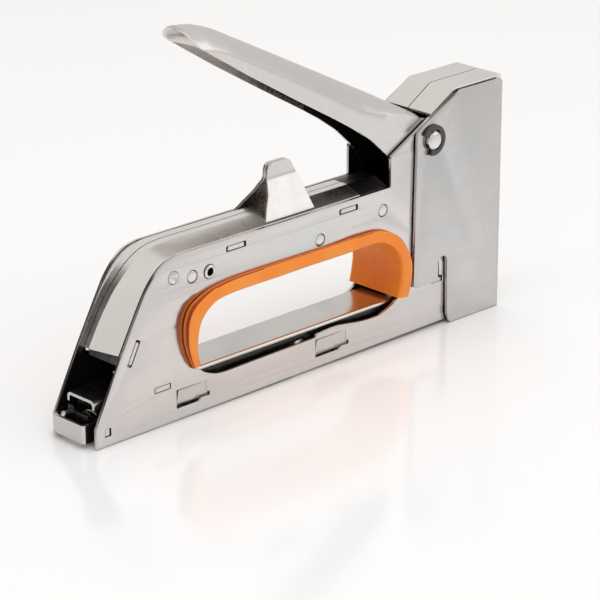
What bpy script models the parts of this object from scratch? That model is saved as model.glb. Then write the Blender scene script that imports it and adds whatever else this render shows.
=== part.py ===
"""All-metal hand tacker (staple gun) as an assembly of separate pieces.

Frame: metres in the file, millimetres in the constants. +X towards the nose,
+Z up, the right side plate at -Y. The origin is at the middle of the base.
"""

import math

import bmesh
import bpy
import numpy as np
from mathutils import Matrix, Vector

MM = 0.001

# ---------------------------------------------------------------- dimensions
GAP = 0.3            # clearance left between pieces that touch
SHEET = 1.0          # body sheet thickness
PLATE_OUT = 8.95     # outer face of each side plate from the mid-plane
PLATE_IN = PLATE_OUT - SHEET
SHELL_OUT = PLATE_IN - GAP
COVER_IN = PLATE_OUT + GAP
COVER_OUT = COVER_IN + SHEET
REAR_X = -78.6
FRONT_X = 78.6
BODY_TOP = 46.8      # top edge of the side plates behind the head
HEAD_TOP = 70.9
RIDGE_RISE = 2.2     # ridge above the plate edge, on the top run
RIDGE_RISE_REAR = 5.6

PIVOT = (48.4, 57.9)         # lever pivot, x and z
PIN_R = 2.6
PIN_HALF = 12.0
LEVER_HALF = 7.6
LEVER_SHEET = 1.0
ARM_TIP = (69.4, 53.4)
ARM_TIP_R = 2.2

LATCH_PIN = (5.4, 38.0)
RIVET_R = 1.75
RIVETS = {"front_rivet": (30.2, 40.7), "latch_pin": LATCH_PIN, "rear_rivet": (-42.1, 39.5), "spine_rivet": (-48.8, 40.9)}
HOLLOW_RIVET = (-36.0, 39.4)

CHANNEL_TOP = 12.0
CHANNEL_HALF = 6.6
CHANNEL_IN = 5.6
RAIL_HALF = 4.3
RAIL_TOP = 9.2

SPRING_X = 63.4
SPRING_R = 4.6
SPRING_WIRE = 1.9
SPRING_Z = (23.3, 65.7)
SPRING_TURNS = 8.5

STEEL = ((0.72, 0.70, 0.68), 0.18, 1.0)
DARK = ((0.09, 0.085, 0.08), 0.4, 0.9)
SPRING_STEEL = ((0.45, 0.44, 0.43), 0.3, 1.0)
ORANGE = ((0.95, 0.33, 0.06), 0.38, 0.0)
RUBBER = ((0.04, 0.04, 0.04), 0.8, 0.0)

# ---------------------------------------------------------------- scene set-up
for old in list(bpy.data.objects):
    bpy.data.objects.remove(old, do_unlink=True)
parts = bpy.data.collections.new("hand_tacker")
cutters = bpy.data.collections.new("cutters")
bpy.context.scene.collection.children.link(parts)
bpy.context.scene.collection.children.link(cutters)


def material(name, look):
    colour, rough, metal = look
    mat = bpy.data.materials.new(name)
    mat.use_nodes = True
    shader = mat.node_tree.nodes["Principled BSDF"]
    shader.inputs["Base Color"].default_value = (*colour, 1)
    shader.inputs["Roughness"].default_value = rough
    shader.inputs["Metallic"].default_value = metal
    mat.diffuse_color = (*colour, 1)
    return mat


def place(obj, look=None):
    """Puts the object among the parts with its own material, or among the cutters."""
    if look is None:
        cutters.objects.link(obj)
        obj.hide_render = True
        obj.display_type = "WIRE"
    else:
        parts.objects.link(obj)
        obj.data.materials.append(material(obj.name + "_finish", look))
    return obj


def cut(obj, tool, operation="DIFFERENCE"):
    modifier = obj.modifiers.new(operation.lower() + str(len(obj.modifiers)), "BOOLEAN")
    modifier.operation = operation
    modifier.object = tool
    modifier.solver = "EXACT"
    return obj


def mesh_object(name, bm, look):
    bmesh.ops.recalc_face_normals(bm, faces=bm.faces)
    mesh = bpy.data.meshes.new(name)
    bm.to_mesh(mesh)
    bm.free()
    return place(bpy.data.objects.new(name, mesh), look)


def set_origin(obj, point):
    """Moves the object's origin to a point in mm, and leaves the shape where it is."""
    shift = Vector([c * MM for c in point])
    obj.data.transform(Matrix.Translation(-shift))
    obj.location = shift
    return obj


def box(name, low, high, look=None):
    bm = bmesh.new()
    bmesh.ops.create_cube(bm, size=1.0)
    low, high = Vector(low) * MM, Vector(high) * MM
    bmesh.ops.scale(bm, vec=high - low, verts=bm.verts)
    bmesh.ops.translate(bm, vec=(high + low) / 2, verts=bm.verts)
    return mesh_object(name, bm, look)


def round_bar(name, radius, start, end, look=None, sides=24, radius_2=None):
    """A cylinder or cone between two points."""
    bm = bmesh.new()
    a, b = Vector(start) * MM, Vector(end) * MM
    r2 = radius if radius_2 is None else radius_2
    bmesh.ops.create_cone(bm, cap_ends=True, segments=sides, radius1=radius * MM, radius2=r2 * MM, depth=(b - a).length)
    turn = Vector((0, 0, 1)).rotation_difference(b - a).to_matrix().to_4x4()
    bm.transform(Matrix.Translation((a + b) / 2) @ turn)
    return mesh_object(name, bm, look)


def flat(name, loops, y_low, y_high, look=None):
    """A flat outline in X and Z, with further loops as holes, between two Y planes."""
    curve = bpy.data.curves.new(name, "CURVE")
    curve.dimensions = "2D"
    curve.fill_mode = "BOTH"
    curve.extrude = abs(y_high - y_low) * MM / 2
    for loop in loops:
        spline = curve.splines.new("POLY")
        spline.points.add(len(loop) - 1)
        spline.use_cyclic_u = True
        for point, (x, z) in zip(spline.points, loop):
            point.co = (x * MM, z * MM, 0, 1)
    guide = bpy.data.objects.new(name + "_outline", curve)
    cutters.objects.link(guide)
    guide.rotation_euler = (math.pi / 2, 0, 0)
    guide.location = (0, (y_low + y_high) * MM / 2, 0)
    bpy.context.view_layer.update()
    graph = bpy.context.evaluated_depsgraph_get()
    mesh = bpy.data.meshes.new_from_object(guide.evaluated_get(graph))
    mesh.transform(guide.matrix_world)
    bpy.data.objects.remove(guide, do_unlink=True)
    bm = bmesh.new()
    bm.from_mesh(mesh)
    bmesh.ops.remove_doubles(bm, verts=bm.verts, dist=2e-6)
    bpy.data.meshes.remove(mesh)
    return mesh_object(name, bm, look)


def turned(name, profile, start, direction, look=None, steps=24, hollow=False):
    """A profile of (distance along the axis, radius), turned about an axis that starts at a point."""
    bm = bmesh.new()
    verts = [bm.verts.new((r * MM, 0, h * MM)) for h, r in profile[::-1]]
    for a, b in zip(verts, verts[1:]):
        bm.edges.new((a, b))
    if hollow:
        bm.edges.new((verts[-1], verts[0]))
    mesh = bpy.data.meshes.new(name)
    bm.to_mesh(mesh)
    bm.free()
    obj = place(bpy.data.objects.new(name, mesh), look)
    screw = obj.modifiers.new("turn", "SCREW")
    screw.steps = screw.render_steps = steps
    screw.use_merge_vertices = True
    screw.merge_threshold = 0.00001
    obj.location = Vector(start) * MM
    obj.rotation_euler = Vector((0, 0, 1)).rotation_difference(Vector(direction)).to_euler()
    return obj


def coil(name, centre, axis, radius, wire, length, turns, look, per_turn=12, closed=1.0, sides=1):
    """A compression spring: closed end turns, open turns between."""
    axis = Vector(axis).normalized()
    side = axis.orthogonal().normalized()
    other = axis.cross(side)
    count = int(turns * per_turn) + 1
    curve = bpy.data.curves.new(name, "CURVE")
    curve.dimensions = "3D"
    curve.bevel_depth = wire * MM / 2
    curve.bevel_resolution = sides
    curve.use_fill_caps = True
    spline = curve.splines.new("POLY")
    spline.points.add(count - 1)
    pitch_closed = wire * 1.12
    open_run = length - wire - 2 * closed * pitch_closed
    for i, point in enumerate(spline.points):
        t = turns * i / (count - 1)
        if t < closed:
            rise = t * pitch_closed
        elif t > turns - closed:
            rise = length - wire - (turns - t) * pitch_closed
        else:
            rise = closed * pitch_closed + open_run * (t - closed) / (turns - 2 * closed)
        angle = 2 * math.pi * t
        at = Vector(centre) + axis * (rise + wire / 2) + radius * (math.cos(angle) * side + math.sin(angle) * other)
        point.co = (*(at * MM), 1)
    return place(bpy.data.objects.new(name, curve), look)


def smooth_run(points, per_span=4):
    """A Catmull-Rom curve through 2D points."""
    p = [Vector(q) for q in points]
    p = [2 * p[0] - p[1]] + p + [2 * p[-1] - p[-2]]
    out = []
    for a, b, c, d in zip(p, p[1:], p[2:], p[3:]):
        for i in range(per_span):
            t = i / per_span
            out.append(0.5 * ((2 * b) + (c - a) * t + (2 * a - 5 * b + 4 * c - d) * t**2 + (3 * b - a - 3 * c + d) * t**3))
    out.append(p[-2])
    return [(q.x, q.y) for q in out]


def offset_run(points, distance):
    """The run moved sideways, to its left where distance is positive."""
    p = np.array(points, float)
    along = np.gradient(p, axis=0)
    along /= np.linalg.norm(along, axis=1)[:, None]
    return [tuple(q) for q in p + distance * np.stack([-along[:, 1], along[:, 0]], 1)]


def ring(centre, radius, sides=24, start=0.0):
    return [(centre[0] + radius * math.cos(start + 2 * math.pi * i / sides), centre[1] + radius * math.sin(start + 2 * math.pi * i / sides)) for i in range(sides)]


def rounded(points, radii, steps=4):
    """A polygon with each corner rounded by its own radius."""
    out = []
    n = len(points)
    for i, (corner, r) in enumerate(zip(points, radii)):
        c = Vector(corner)
        if r <= 0:
            out.append(tuple(c))
            continue
        a = (Vector(points[i - 1]) - c).normalized()
        b = (Vector(points[(i + 1) % n]) - c).normalized()
        half = a.angle(b) / 2
        reach = r / math.tan(half)
        centre = c + (a + b).normalized() * r / math.sin(half)
        first, last = c + a * reach - centre, c + b * reach - centre
        turn = first.angle_signed(last)
        for k in range(steps + 1):
            angle = -turn * k / steps
            out.append(tuple(centre + Matrix.Rotation(angle, 2) @ first))
    return out


def bar_slot(centre, length, width, angle=0.0):
    ca, sa = math.cos(angle), math.sin(angle)
    half = ((-length / 2, -width / 2), (length / 2, -width / 2), (length / 2, width / 2), (-length / 2, width / 2))
    return [(centre[0] + ca * a - sa * b, centre[1] + sa * a + ca * b) for a, b in half]


def loft(name, sections, look=None, branched=False):
    """A closed solid through sections with equal point counts, each a closed loop of (x, y, z)."""
    bm = bmesh.new()
    rows = [[bm.verts.new(Vector(p) * MM) for p in section] for section in sections]
    n = len(rows[0])
    for a, b in zip(rows, rows[1:]):
        for i in range(n):
            j = (i + 1) % n
            bm.faces.new((a[i], a[j], b[j], b[i]))
    for row in (rows[0], rows[-1]):
        half = n // 2
        if branched:
            bmesh.ops.triangulate(bm, faces=[bm.faces.new(row)], ngon_method="EAR_CLIP")
            continue
        for i in range(half - 1):
            bm.faces.new((row[i], row[i + 1], row[n - 2 - i], row[n - 1 - i]))
    return mesh_object(name, bm, look)


# ---------------------------------------------------------------- side plates
SLOPE = math.atan2(17.6, 9.1)
PLATE_REAR = [(-76.8, 0.0), (-76.7, 5.6), (-67.6, 23.2), (-60.2, 36.4), (-57.6, 40.4), (-54.6, 43.6), (-51.0, 45.8), (-46.6, 46.75)]
PLATE_FRONT = [(33.2, 46.9), (33.2, 55.8), (58.4, 69.2), (76.9, 69.4), (76.9, 0.0)]
GRIP_OUT = [(-42.9, 13.6), (-44.3, 16.7), (-45.3, 19.6), (-45.9, 22.4), (-46.0, 25.3), (-45.7, 27.8), (-44.7, 30.2), (-43.2, 31.9), (-41.0, 33.2), (-38.6, 34.2), (-36.3, 34.9), (-33.4, 35.4), (-26.8, 35.9), (-15.0, 36.0), (0.0, 35.9), (16.6, 35.9), (25.3, 35.8), (29.0, 35.2), (32.6, 33.8), (35.9, 31.7), (38.0, 29.2), (39.7, 26.4), (40.9, 23.3), (41.2, 20.3), (40.9, 17.2), (40.3, 14.6), (39.5, 12.7)]
GRIP_IN = [(-40.1, 13.9), (-41.3, 16.2), (-42.0, 18.8), (-42.2, 21.0), (-42.1, 23.4), (-41.5, 25.8), (-40.5, 27.7), (-38.8, 29.5), (-36.6, 30.8), (-34.4, 31.5), (-30.7, 31.9), (-26.8, 32.0), (-20.0, 32.0), (-9.8, 31.9), (0.0, 31.9), (11.5, 31.9), (19.4, 32.0), (23.3, 32.1), (26.6, 32.1), (29.4, 31.4), (32.3, 29.8), (34.7, 27.5), (36.3, 24.7), (36.9, 21.6), (36.7, 18.6), (36.2, 15.8), (35.5, 13.2)]
GRIP_RISE = [(0.0, 1.6), (0.08, 2.2), (0.15, 2.6), (0.27, 2.6), (0.36, 2.2), (0.45, 1.8), (0.52, 1.6), (0.6, 1.5), (1.0, 1.5)]  # how far the bead stands off the side plate, along the run
GRIP_WEB = 2.0
grip_inner = smooth_run(GRIP_IN, 2)
grip_outer = smooth_run(GRIP_OUT, 2)
web_outer = offset_run(grip_inner, GRIP_WEB)
opening_edge = offset_run(grip_inner, GRIP_WEB + GAP)

finger_opening = [(-38.5, 11.3), (-36.4, 10.3), (-33.6, 9.4), (-31.0, 9.2), (-2.0, 9.2), (1.0, 10.4), (16.8, 10.4), (19.0, 9.2), (28.5, 9.2), (34.2, 10.9)] + opening_edge[::-1]

TAB_SLOTS = {"top_spacer_front": ((16.4, 44.3), 0.0, 6.0), "top_spacer_rear": ((-26.3, 44.12), 0.0, 6.0), "rear_spacer": ((-63.2, 23.4), SLOPE, 6.2)}
TAB_THICK = 1.2
CHANNEL_EAR = ((-53.4, 10.7), 5.2, 1.1)

# lanced pads: sheet pressed in towards the channel, free along the rear and bottom edges
PADS = [(-47.6, -37.6, 3.4, 9.0), (4.4, 15.6, 3.53, 9.13)]


def pad(name, x0, x1, z0, z1, side):
    """The pressed-in panel: level with the plate at its top and front edges, deepest at the rear bottom corner."""
    bm = bmesh.new()
    for x, z, deep in ((x0, z1, 0.25), (x1, z1, 0.1), (x0, z0, 1.15), (x1 - 3.0, z0, 1.0), (x1, z0 + 1.2, 0.1)):
        for y in (PLATE_OUT - deep, PLATE_OUT - deep - 0.8):
            bm.verts.new(Vector((x, side * y, z)) * MM)
    hull = bmesh.ops.convex_hull(bm, input=bm.verts)
    bmesh.ops.delete(bm, geom=[g for g in hull["geom_interior"] if isinstance(g, bmesh.types.BMVert)], context="VERTS")
    return mesh_object(name, bm, None)


for side, label in ((-1, "right"), (1, "left")):
    loops = [PLATE_REAR + PLATE_FRONT, finger_opening]
    for centre, angle, length in TAB_SLOTS.values():
        loops.append(bar_slot(centre, length + 0.6, TAB_THICK + 0.6, angle))
    loops.append(bar_slot(CHANNEL_EAR[0], CHANNEL_EAR[1] + 0.6, CHANNEL_EAR[2] + 0.6))
    for centre in RIVETS.values():
        loops.append(ring(centre, RIVET_R + GAP, 20))
    loops.append([(50.6, 13.3), (55.1, 13.3), (55.1, 14.9), (53.7, 15.3), (53.5, 20.2), (52.9, 20.8), (51.2, 20.8), (50.9, 20.2)])
    loops.append(ring(HOLLOW_RIVET, 1.9, 20))
    loops.append(ring(PIVOT, PIN_R + GAP, 24))
    for x0, x1, z0, z1 in PADS:
        loops.append([(x0 - 0.5, z0 - 0.9), (x1 - 2.4, z0 - 0.9), (x1 - 1.6, z0 - 0.3), (x1 + 0.3, z0 - 0.3), (x1 + 0.6, z0 + 0.2), (x1 + 0.3, z0 + 0.9), (x1 - 0.3, z0 + 1.0), (x1 - 0.3, z1 - 0.3), (x0 - 0.5, z1 - 0.3)])
    low, high = sorted((side * PLATE_IN, side * PLATE_OUT))
    plate = flat("side_plate_" + label, loops, low, high, STEEL)
    for i, (x0, x1, z0, z1) in enumerate(PADS):
        cut(plate, pad(f"pad_{label}_{i}", x0, x1, z0, z1, side), "UNION")

# ---------------------------------------------------------------- spine and head shells


def shell_half(name, path, ups, side, flange):
    """Half of a folded wall: a flange inside the side plate, a sloped shoulder, a ridge up to the centre seam.

    path is the plate edge; ups gives, at each point, the rise of the ridge and its half width."""
    p = np.array(path, float)
    along = np.gradient(p, axis=0)
    along /= np.linalg.norm(along, axis=1)[:, None]
    normal = np.stack([-along[:, 1], along[:, 0]], 1)
    sections = []
    for (x, z), (nx, nz), (rise, half) in zip(p, normal, ups):
        outer = [(SHELL_OUT, -flange), (SHELL_OUT, 0.1), (SHELL_OUT - 0.5, 0.45), (half + 0.5, rise - 0.25), (half - 0.6, rise), (0.15, rise)]
        inner = [(0.15, rise - SHEET), (half - 0.9, rise - SHEET), (half, rise - SHEET - 0.25), (SHELL_OUT - 1.3, -0.35), (SHELL_OUT - SHEET, -0.9), (SHELL_OUT - SHEET, -flange)]
        sections.append([(x + nx * n, side * y, z + nz * n) for y, n in outer + inner])
    return loft(name, sections, STEEL)


spine_path = [(-67.8, 22.8), (-64.0, 29.7), (-60.4, 36.1), (-58.0, 39.8), (-55.2, 43.0), (-51.6, 45.4), (-47.0, 46.5), (-41.0, 46.7), (-30.0, 46.7), (0.0, 46.7), (33.2, 46.8)]
spine_ups = [(5.6, 2.0), (5.5, 2.1), (4.9, 2.3), (4.1, 2.4), (3.4, 2.5), (2.8, 2.6), (2.4, 2.6), (2.3, 2.6), (2.2, 2.6), (2.2, 2.6), (2.2, 2.6)]
head_path = [(49.6, 64.2), (58.4, 69.6), (78.6, 69.8)]
head_ups = [(1.1, 6.6), (1.1, 6.6), (1.1, 6.6)]
for side, label in ((-1, "right"), (1, "left")):
    spine = shell_half("spine_" + label, spine_path, spine_ups, side, 1.2)
    leg_slot = box("latch_slot_" + label, (-15.6, min(side * 4.5, side * 8.5), 40), (8.4, max(side * 4.5, side * 8.5), 52))
    cut(spine, leg_slot)
    for at in (RIVETS["spine_rivet"],):
        cut(spine, round_bar("spine_rivet_hole_" + label, RIVET_R + GAP, (at[0], side * 4, at[1]), (at[0], side * 10, at[1]), sides=20))
    shell = shell_half("head_shell_" + label, head_path, head_ups, side, 1.3)
    cut(shell, box("cover_step_" + label, (77.3, -9, 60), (80, 9, 69.56)))

# ---------------------------------------------------------------- front cover
cover_outline = [(58.6, 0.0), (78.6, 0.0), (78.6, 70.2), (60.3, 70.1), (43.4, 61.4), (42.5, 60.4), (41.7, 16.0), (42.3, 14.7), (43.6, 14.2), (51.9, 14.2), (52.0, 19.8), (52.6, 20.9), (53.8, 21.4), (55.0, 21.0), (55.6, 20.0), (56.0, 3.0), (56.5, 1.4), (57.4, 0.4)]
cover = flat("front_cover", [cover_outline], -COVER_OUT, COVER_OUT, STEEL)
cut(cover, box("cover_hollow", (30, -COVER_IN, -1), (FRONT_X - SHEET, COVER_IN, 75)))
cut(cover, box("cover_web_step", (77.0, -COVER_IN, 69.25), (80, COVER_IN, 72)))
cut(cover, round_bar("cover_pin_hole", PIN_R + GAP, (PIVOT[0], -14, PIVOT[1]), (PIVOT[0], 14, PIVOT[1])))

# ---------------------------------------------------------------- grip insert
web_run = [(x, max(z, CHANNEL_TOP + 0.5)) for x, z in web_outer]  # clear of the magazine channel
grip_sections = []
for i, ((ix, iz), (ox, oz), (wx, wz)) in enumerate(zip(grip_inner, grip_outer, web_run)):
    share = i / (len(grip_inner) - 1)
    crest = PLATE_OUT + float(np.interp(share, [q[0] for q in GRIP_RISE], [q[1] for q in GRIP_RISE]))
    near = [(ix, -crest + 0.5, iz), (ix + 0.1 * (ox - ix), -crest, iz + 0.1 * (oz - iz)), (ix + 0.85 * (ox - ix), -crest, iz + 0.85 * (oz - iz)), (ix + 0.92 * (ox - ix), -COVER_IN - 0.45, iz + 0.92 * (oz - iz)), (ox, -COVER_IN - 0.35, oz), (ox, -COVER_IN, oz), (wx, -COVER_IN, wz)]
    grip_sections.append(near + [(x, -y, z) for x, y, z in near[::-1]])
grip = loft("grip", grip_sections, ORANGE, branched=True)

# ---------------------------------------------------------------- spacers and rivets
def tabbed_bar(name, centre, angle, length):
    """A cross bar of sheet with one tab at each end, cut as one outline and turned about Y."""
    body, tab = (length + 3.0) / 2, length / 2
    deep, far = SHELL_OUT - 0.95, PLATE_OUT
    outline = [(-body, -deep), (-tab, -deep), (-tab, -far), (tab, -far), (tab, -deep), (body, -deep), (body, deep), (tab, deep), (tab, far), (-tab, far), (-tab, deep), (-body, deep)]
    bm = bmesh.new()
    rows = [[bm.verts.new(Vector((u, y, n)) * MM) for u, y in outline] for n in (-TAB_THICK / 2, TAB_THICK / 2)]
    for row in rows:
        bm.faces.new([row[i] for i in (0, 1, 10, 11)])
        bm.faces.new([row[i] for i in (1, 2, 3, 4, 7, 8, 9, 10)])
        bm.faces.new([row[i] for i in (4, 5, 6, 7)])
    for i in range(12):
        j = (i + 1) % 12
        bm.faces.new((rows[0][i], rows[0][j], rows[1][j], rows[1][i]))
    bm.transform(Matrix.Translation(Vector((centre[0], 0, centre[1])) * MM) @ Matrix.Rotation(-angle, 4, "Y"))
    return mesh_object(name, bm, STEEL)


for name, (centre, angle, length) in TAB_SLOTS.items():
    tabbed_bar(name, centre, angle, length)

for name, (x, z) in RIVETS.items():
    turned(name, [(0, 0), (0, RIVET_R - 0.25), (0.25, RIVET_R), (2 * PLATE_OUT - 0.05, RIVET_R), (2 * PLATE_OUT + 0.2, RIVET_R - 0.25), (2 * PLATE_OUT + 0.2, 0)], (x, -PLATE_OUT - 0.1, z), (0, 1, 0), STEEL, 16)
turned("hollow_rivet", [(0, 0.9), (0, 1.9), (0.2, 2.15), (0.4, 2.15), (0.4, 1.6), (18.3, 1.6), (18.3, 2.15), (18.5, 2.15), (18.7, 1.9), (18.7, 0.9)], (HOLLOW_RIVET[0], -9.35, HOLLOW_RIVET[1]), (0, 1, 0), STEEL, 16, hollow=True)

# the spring-steel stop behind the pins is left to the assembly; the lever pin has a groove for each clip
pin = turned("lever_pin", [(0, 0), (0, 2.2), (0.4, PIN_R), (0.6, PIN_R), (0.6, 1.9), (1.5, 1.9), (1.5, PIN_R), (22.5, PIN_R), (22.5, 1.9), (23.4, 1.9), (23.4, PIN_R), (23.6, PIN_R), (24.0, 2.2), (24.0, 0)], (PIVOT[0], -PIN_HALF, PIVOT[1]), (0, 1, 0), STEEL, 24)


def clip_outline():
    """An E-clip: a C with three inner lugs, open towards the rear."""
    open_half = math.radians(52)
    aim = math.radians(205)
    outer = [(PIVOT[0] + 4.5 * math.cos(a), PIVOT[1] + 4.5 * math.sin(a)) for a in np.linspace(aim + open_half, aim + 2 * math.pi - open_half, 25)]
    inner = []
    for a in np.linspace(aim + 2 * math.pi - open_half, aim + open_half, 37):
        off = (a - aim - math.pi) % (2 * math.pi)
        off = min(off, 2 * math.pi - off)
        lug = off < math.radians(14) or off > math.radians(106)
        r = 2.2 if lug else 3.1
        inner.append((PIVOT[0] + r * math.cos(a), PIVOT[1] + r * math.sin(a)))
    return outer + inner


for side, label in ((-1, "right"), (1, "left")):
    low, high = sorted((side * 10.55, side * 11.35))
    flat("e_clip_" + label, [clip_outline()], low, high, DARK)

# ---------------------------------------------------------------- magazine channel, rail and pusher
channel = box("magazine_channel", (-74.4, -CHANNEL_HALF, 9.4), (74.0, CHANNEL_HALF, CHANNEL_TOP), STEEL)
round_top = channel.modifiers.new("round_top", "BEVEL")
round_top.width = 1.3 * MM
round_top.segments = 3
round_top.limit_method = "WEIGHT"
weights = channel.data.attributes.new("bevel_weight_edge", "FLOAT", "EDGE")
for edge in channel.data.edges:
    a, b = (channel.data.vertices[v].co for v in edge.vertices)
    if min(a.z, b.z) > 0.011 and abs(a.x - b.x) > 0.1:
        weights.data[edge.index].value = 1.0
cut(channel, box("channel_hollow", (-80, -CHANNEL_IN, -1), (80, CHANNEL_IN, CHANNEL_TOP - SHEET)))
ear = flat("channel_ears", [bar_slot(CHANNEL_EAR[0], CHANNEL_EAR[1], CHANNEL_EAR[2])], -PLATE_OUT, PLATE_OUT)
cut(ear, box("ear_gap", (-60, -6.0, 5), (-45, 6.0, 15)))
cut(channel, ear, "UNION")

rail = box("staple_rail", (-72.0, -RAIL_HALF, 1.8), (72.5, RAIL_HALF, RAIL_TOP), STEEL)
cut(rail, box("rail_hollow", (-80, -RAIL_HALF + 0.8, -1), (80, RAIL_HALF - 0.8, RAIL_TOP - 0.8)))

ROD_Z = 5.0
round_bar("spring_rod", 1.0, (-73.6, 0, ROD_Z), (71.8, 0, ROD_Z), SPRING_STEEL, 10)
coil("pusher_spring", (-73.2, 0, ROD_Z), (1, 0, 0), 2.15, 0.7, 141.2, 30, SPRING_STEEL, per_turn=9, closed=1.0, sides=0)

pusher = box("pusher", (62.0, -5.3, 0.9), (71.0, 5.3, 10.7), STEEL)
cut(pusher, box("pusher_hollow", (50, -RAIL_HALF - GAP, 1.5), (80, RAIL_HALF + GAP, RAIL_TOP + GAP)))
tongue = box("pusher_tongue", (68.6, -3.1, 1.2), (69.6, 3.1, 8.0))
cut(pusher, tongue, "UNION")
cut(pusher, round_bar("tongue_hole", 1.3, (60, 0, ROD_Z), (80, 0, ROD_Z), sides=12))

cap = box("magazine_end_cap", (REAR_X, -5.9, 1.0), (-64.0, 7.4, 6.3), STEEL)
cut(cap, box("cap_hollow", (-77.6, -5.0, -1), (-60, 6.5, 9)))
cut(cap, box("cap_rod_seat", (-75.6, -5.4, 1.2), (-74.7, 6.9, 6.1)), "UNION")
cut(cap, box("cap_catch_ear", (-75.5, 1.2, 5.8), (-74.8, 4.8, 9.1)), "UNION")
cut(cap, round_bar("cap_rod_hole", 1.3, (-77, 0, ROD_Z), (-70, 0, ROD_Z), sides=12))
cut(cap, round_bar("cap_catch_hole", 1.3, (-77, 3.0, 7.95), (-70, 3.0, 7.95), sides=12))
turned("magazine_catch", [(0, 0), (0, 1.1), (0.3, 1.4), (1.2, 1.4), (1.5, 1.0), (4.6, 1.0), (4.6, 0)], (-78.4, 3.0, 7.95), (1, 0, 0), STEEL, 14)

# ---------------------------------------------------------------- driving parts in the head
hammer = flat("hammer", [[(57.4, 20.0), (73.8, 20.0), (73.8, 46.0), (77.1, 46.0), (77.1, 50.0), (73.8, 50.0), (73.8, 58.0), (71.0, 58.0), (71.0, 23.0), (57.4, 23.0)]], -5.6, 5.6, SPRING_STEEL)
cut(hammer, box("hammer_side_right", (73.8, -6, 40), (80, -2.0, 55)))
cut(hammer, box("hammer_side_left", (73.8, 2.0, 40), (80, 6, 55)))
cut(hammer, box("hammer_lugs", (69.4, -7.5, 56.0), (73.8, 7.5, 58.0)), "UNION")
blade = box("driver_blade", (75.7, -5.3, 1.5), (76.6, 5.3, 52.5), SPRING_STEEL)
cut(blade, box("blade_window", (70, -2.3, 45.7), (80, 2.3, 50.3)))
guide = flat("nose_guide", [[(74.4, 12.4), (75.4, 12.4), (75.4, 44.0), (74.4, 44.0)]], -7.5, 7.5, STEEL)
coil("main_spring", (SPRING_X, 0, SPRING_Z[0]), (0, 0, 1), SPRING_R, SPRING_WIRE, SPRING_Z[1] - SPRING_Z[0], SPRING_TURNS, SPRING_STEEL, per_turn=14, closed=1.0, sides=2)
turned("spring_seat", [(0, 0), (0, 2.9), (2.6, 3.1), (2.6, 5.3), (5.2, 5.3), (5.2, 0)], (SPRING_X, 0, 63.4), (0, 0, 1), STEEL, 24)
box("shock_absorber", (57.6, -7.2, 15.6), (73.6, 7.2, 19.7), RUBBER)
bracket = box("absorber_bracket", (57.0, -7.6, 12.6), (73.9, 7.6, 15.2), STEEL)

# ---------------------------------------------------------------- lever
crown = [(-38.6, 105.7), (-36.5, 105.55), (-33.0, 105.1), (-29.6, 104.0), (-26.0, 102.6), (2.4, 88.2), (30.9, 73.7), (41.0, 68.3), (47.2, 65.0)]
under = [(-38.6, 104.9), (-38.0, 102.9), (-36.8, 101.0), (-34.3, 99.3), (-19.9, 90.2), (-1.1, 79.0), (13.5, 70.5), (20.0, 66.5), (26.4, 62.0), (33.4, 55.6), (38.7, 48.3), (47.2, 47.9)]
arch = [(-38.6, 5.4), (-30.0, 5.6), (-5.9, 5.8), (10.0, 6.6), (23.0, 7.2), (31.6, 5.2), (41.0, 1.9), (47.2, 1.5)]


def read(table, x):
    return float(np.interp(x, [p[0] for p in table], [p[1] for p in table]))


def lever_section(x, wide, drop):
    """One arched cross-section at x: a wall, the arch, a wall, as points of (y, z)."""
    top, low, tall = read(crown, x) - drop, read(under, x), read(arch, x) - drop
    spring = top - tall
    start = math.asin(min(0.97, max(0.0, (low - spring) / tall)))
    angles = np.linspace(start, math.pi - start, 15)
    run = [(-wide * math.copysign(abs(math.cos(a)) ** 0.85, math.cos(a)), spring + tall * math.sin(a) ** 0.85) for a in angles]
    foot = min(low, spring - 0.05) if start == 0 else run[0][1] - 0.04
    return [(run[0][0], foot)] + run + [(run[-1][0], foot)]


stations = [-38.5, -37.9, -36.8, -35.6, -34.3, -32.0, -29.0, -24.0, -12.0, 0.0, 10.0, 18.0, 24.0, 29.0, 34.0, 38.7, 43.0, 47.0]
sections = []
for x in stations:
    outer = lever_section(x, LEVER_HALF, 0.0)
    inner = lever_section(x, LEVER_HALF - LEVER_SHEET, 1.1)
    sections.append([(x, y, z) for y, z in outer] + [(x, y, z) for y, z in inner[::-1]])
lever = loft("lever", sections, STEEL)
arm_angle = math.atan2(ARM_TIP[1] - PIVOT[1], ARM_TIP[0] - PIVOT[0])
tip = [(ARM_TIP[0] + ARM_TIP_R * math.cos(a), ARM_TIP[1] + ARM_TIP_R * math.sin(a)) for a in np.linspace(arm_angle - math.pi / 2, arm_angle + math.pi / 2, 9)]
arm = [(41.0, 48.6), (50.0, 50.4)] + tip + [(54.5, 59.0), (52.6, 61.8), (49.6, 63.6), (46.6, 64.0), (41.0, 62.0)]
for side, label in ((-1, "right"), (1, "left")):
    low, high = sorted((side * (LEVER_HALF - LEVER_SHEET), side * LEVER_HALF))
    cut(lever, flat("lever_arm_" + label, [arm], low, high), "UNION")
cut(lever, round_bar("lever_eye", PIN_R + GAP, (PIVOT[0], -12, PIVOT[1]), (PIVOT[0], 12, PIVOT[1])))
set_origin(lever, (PIVOT[0], 0, PIVOT[1]))

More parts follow.
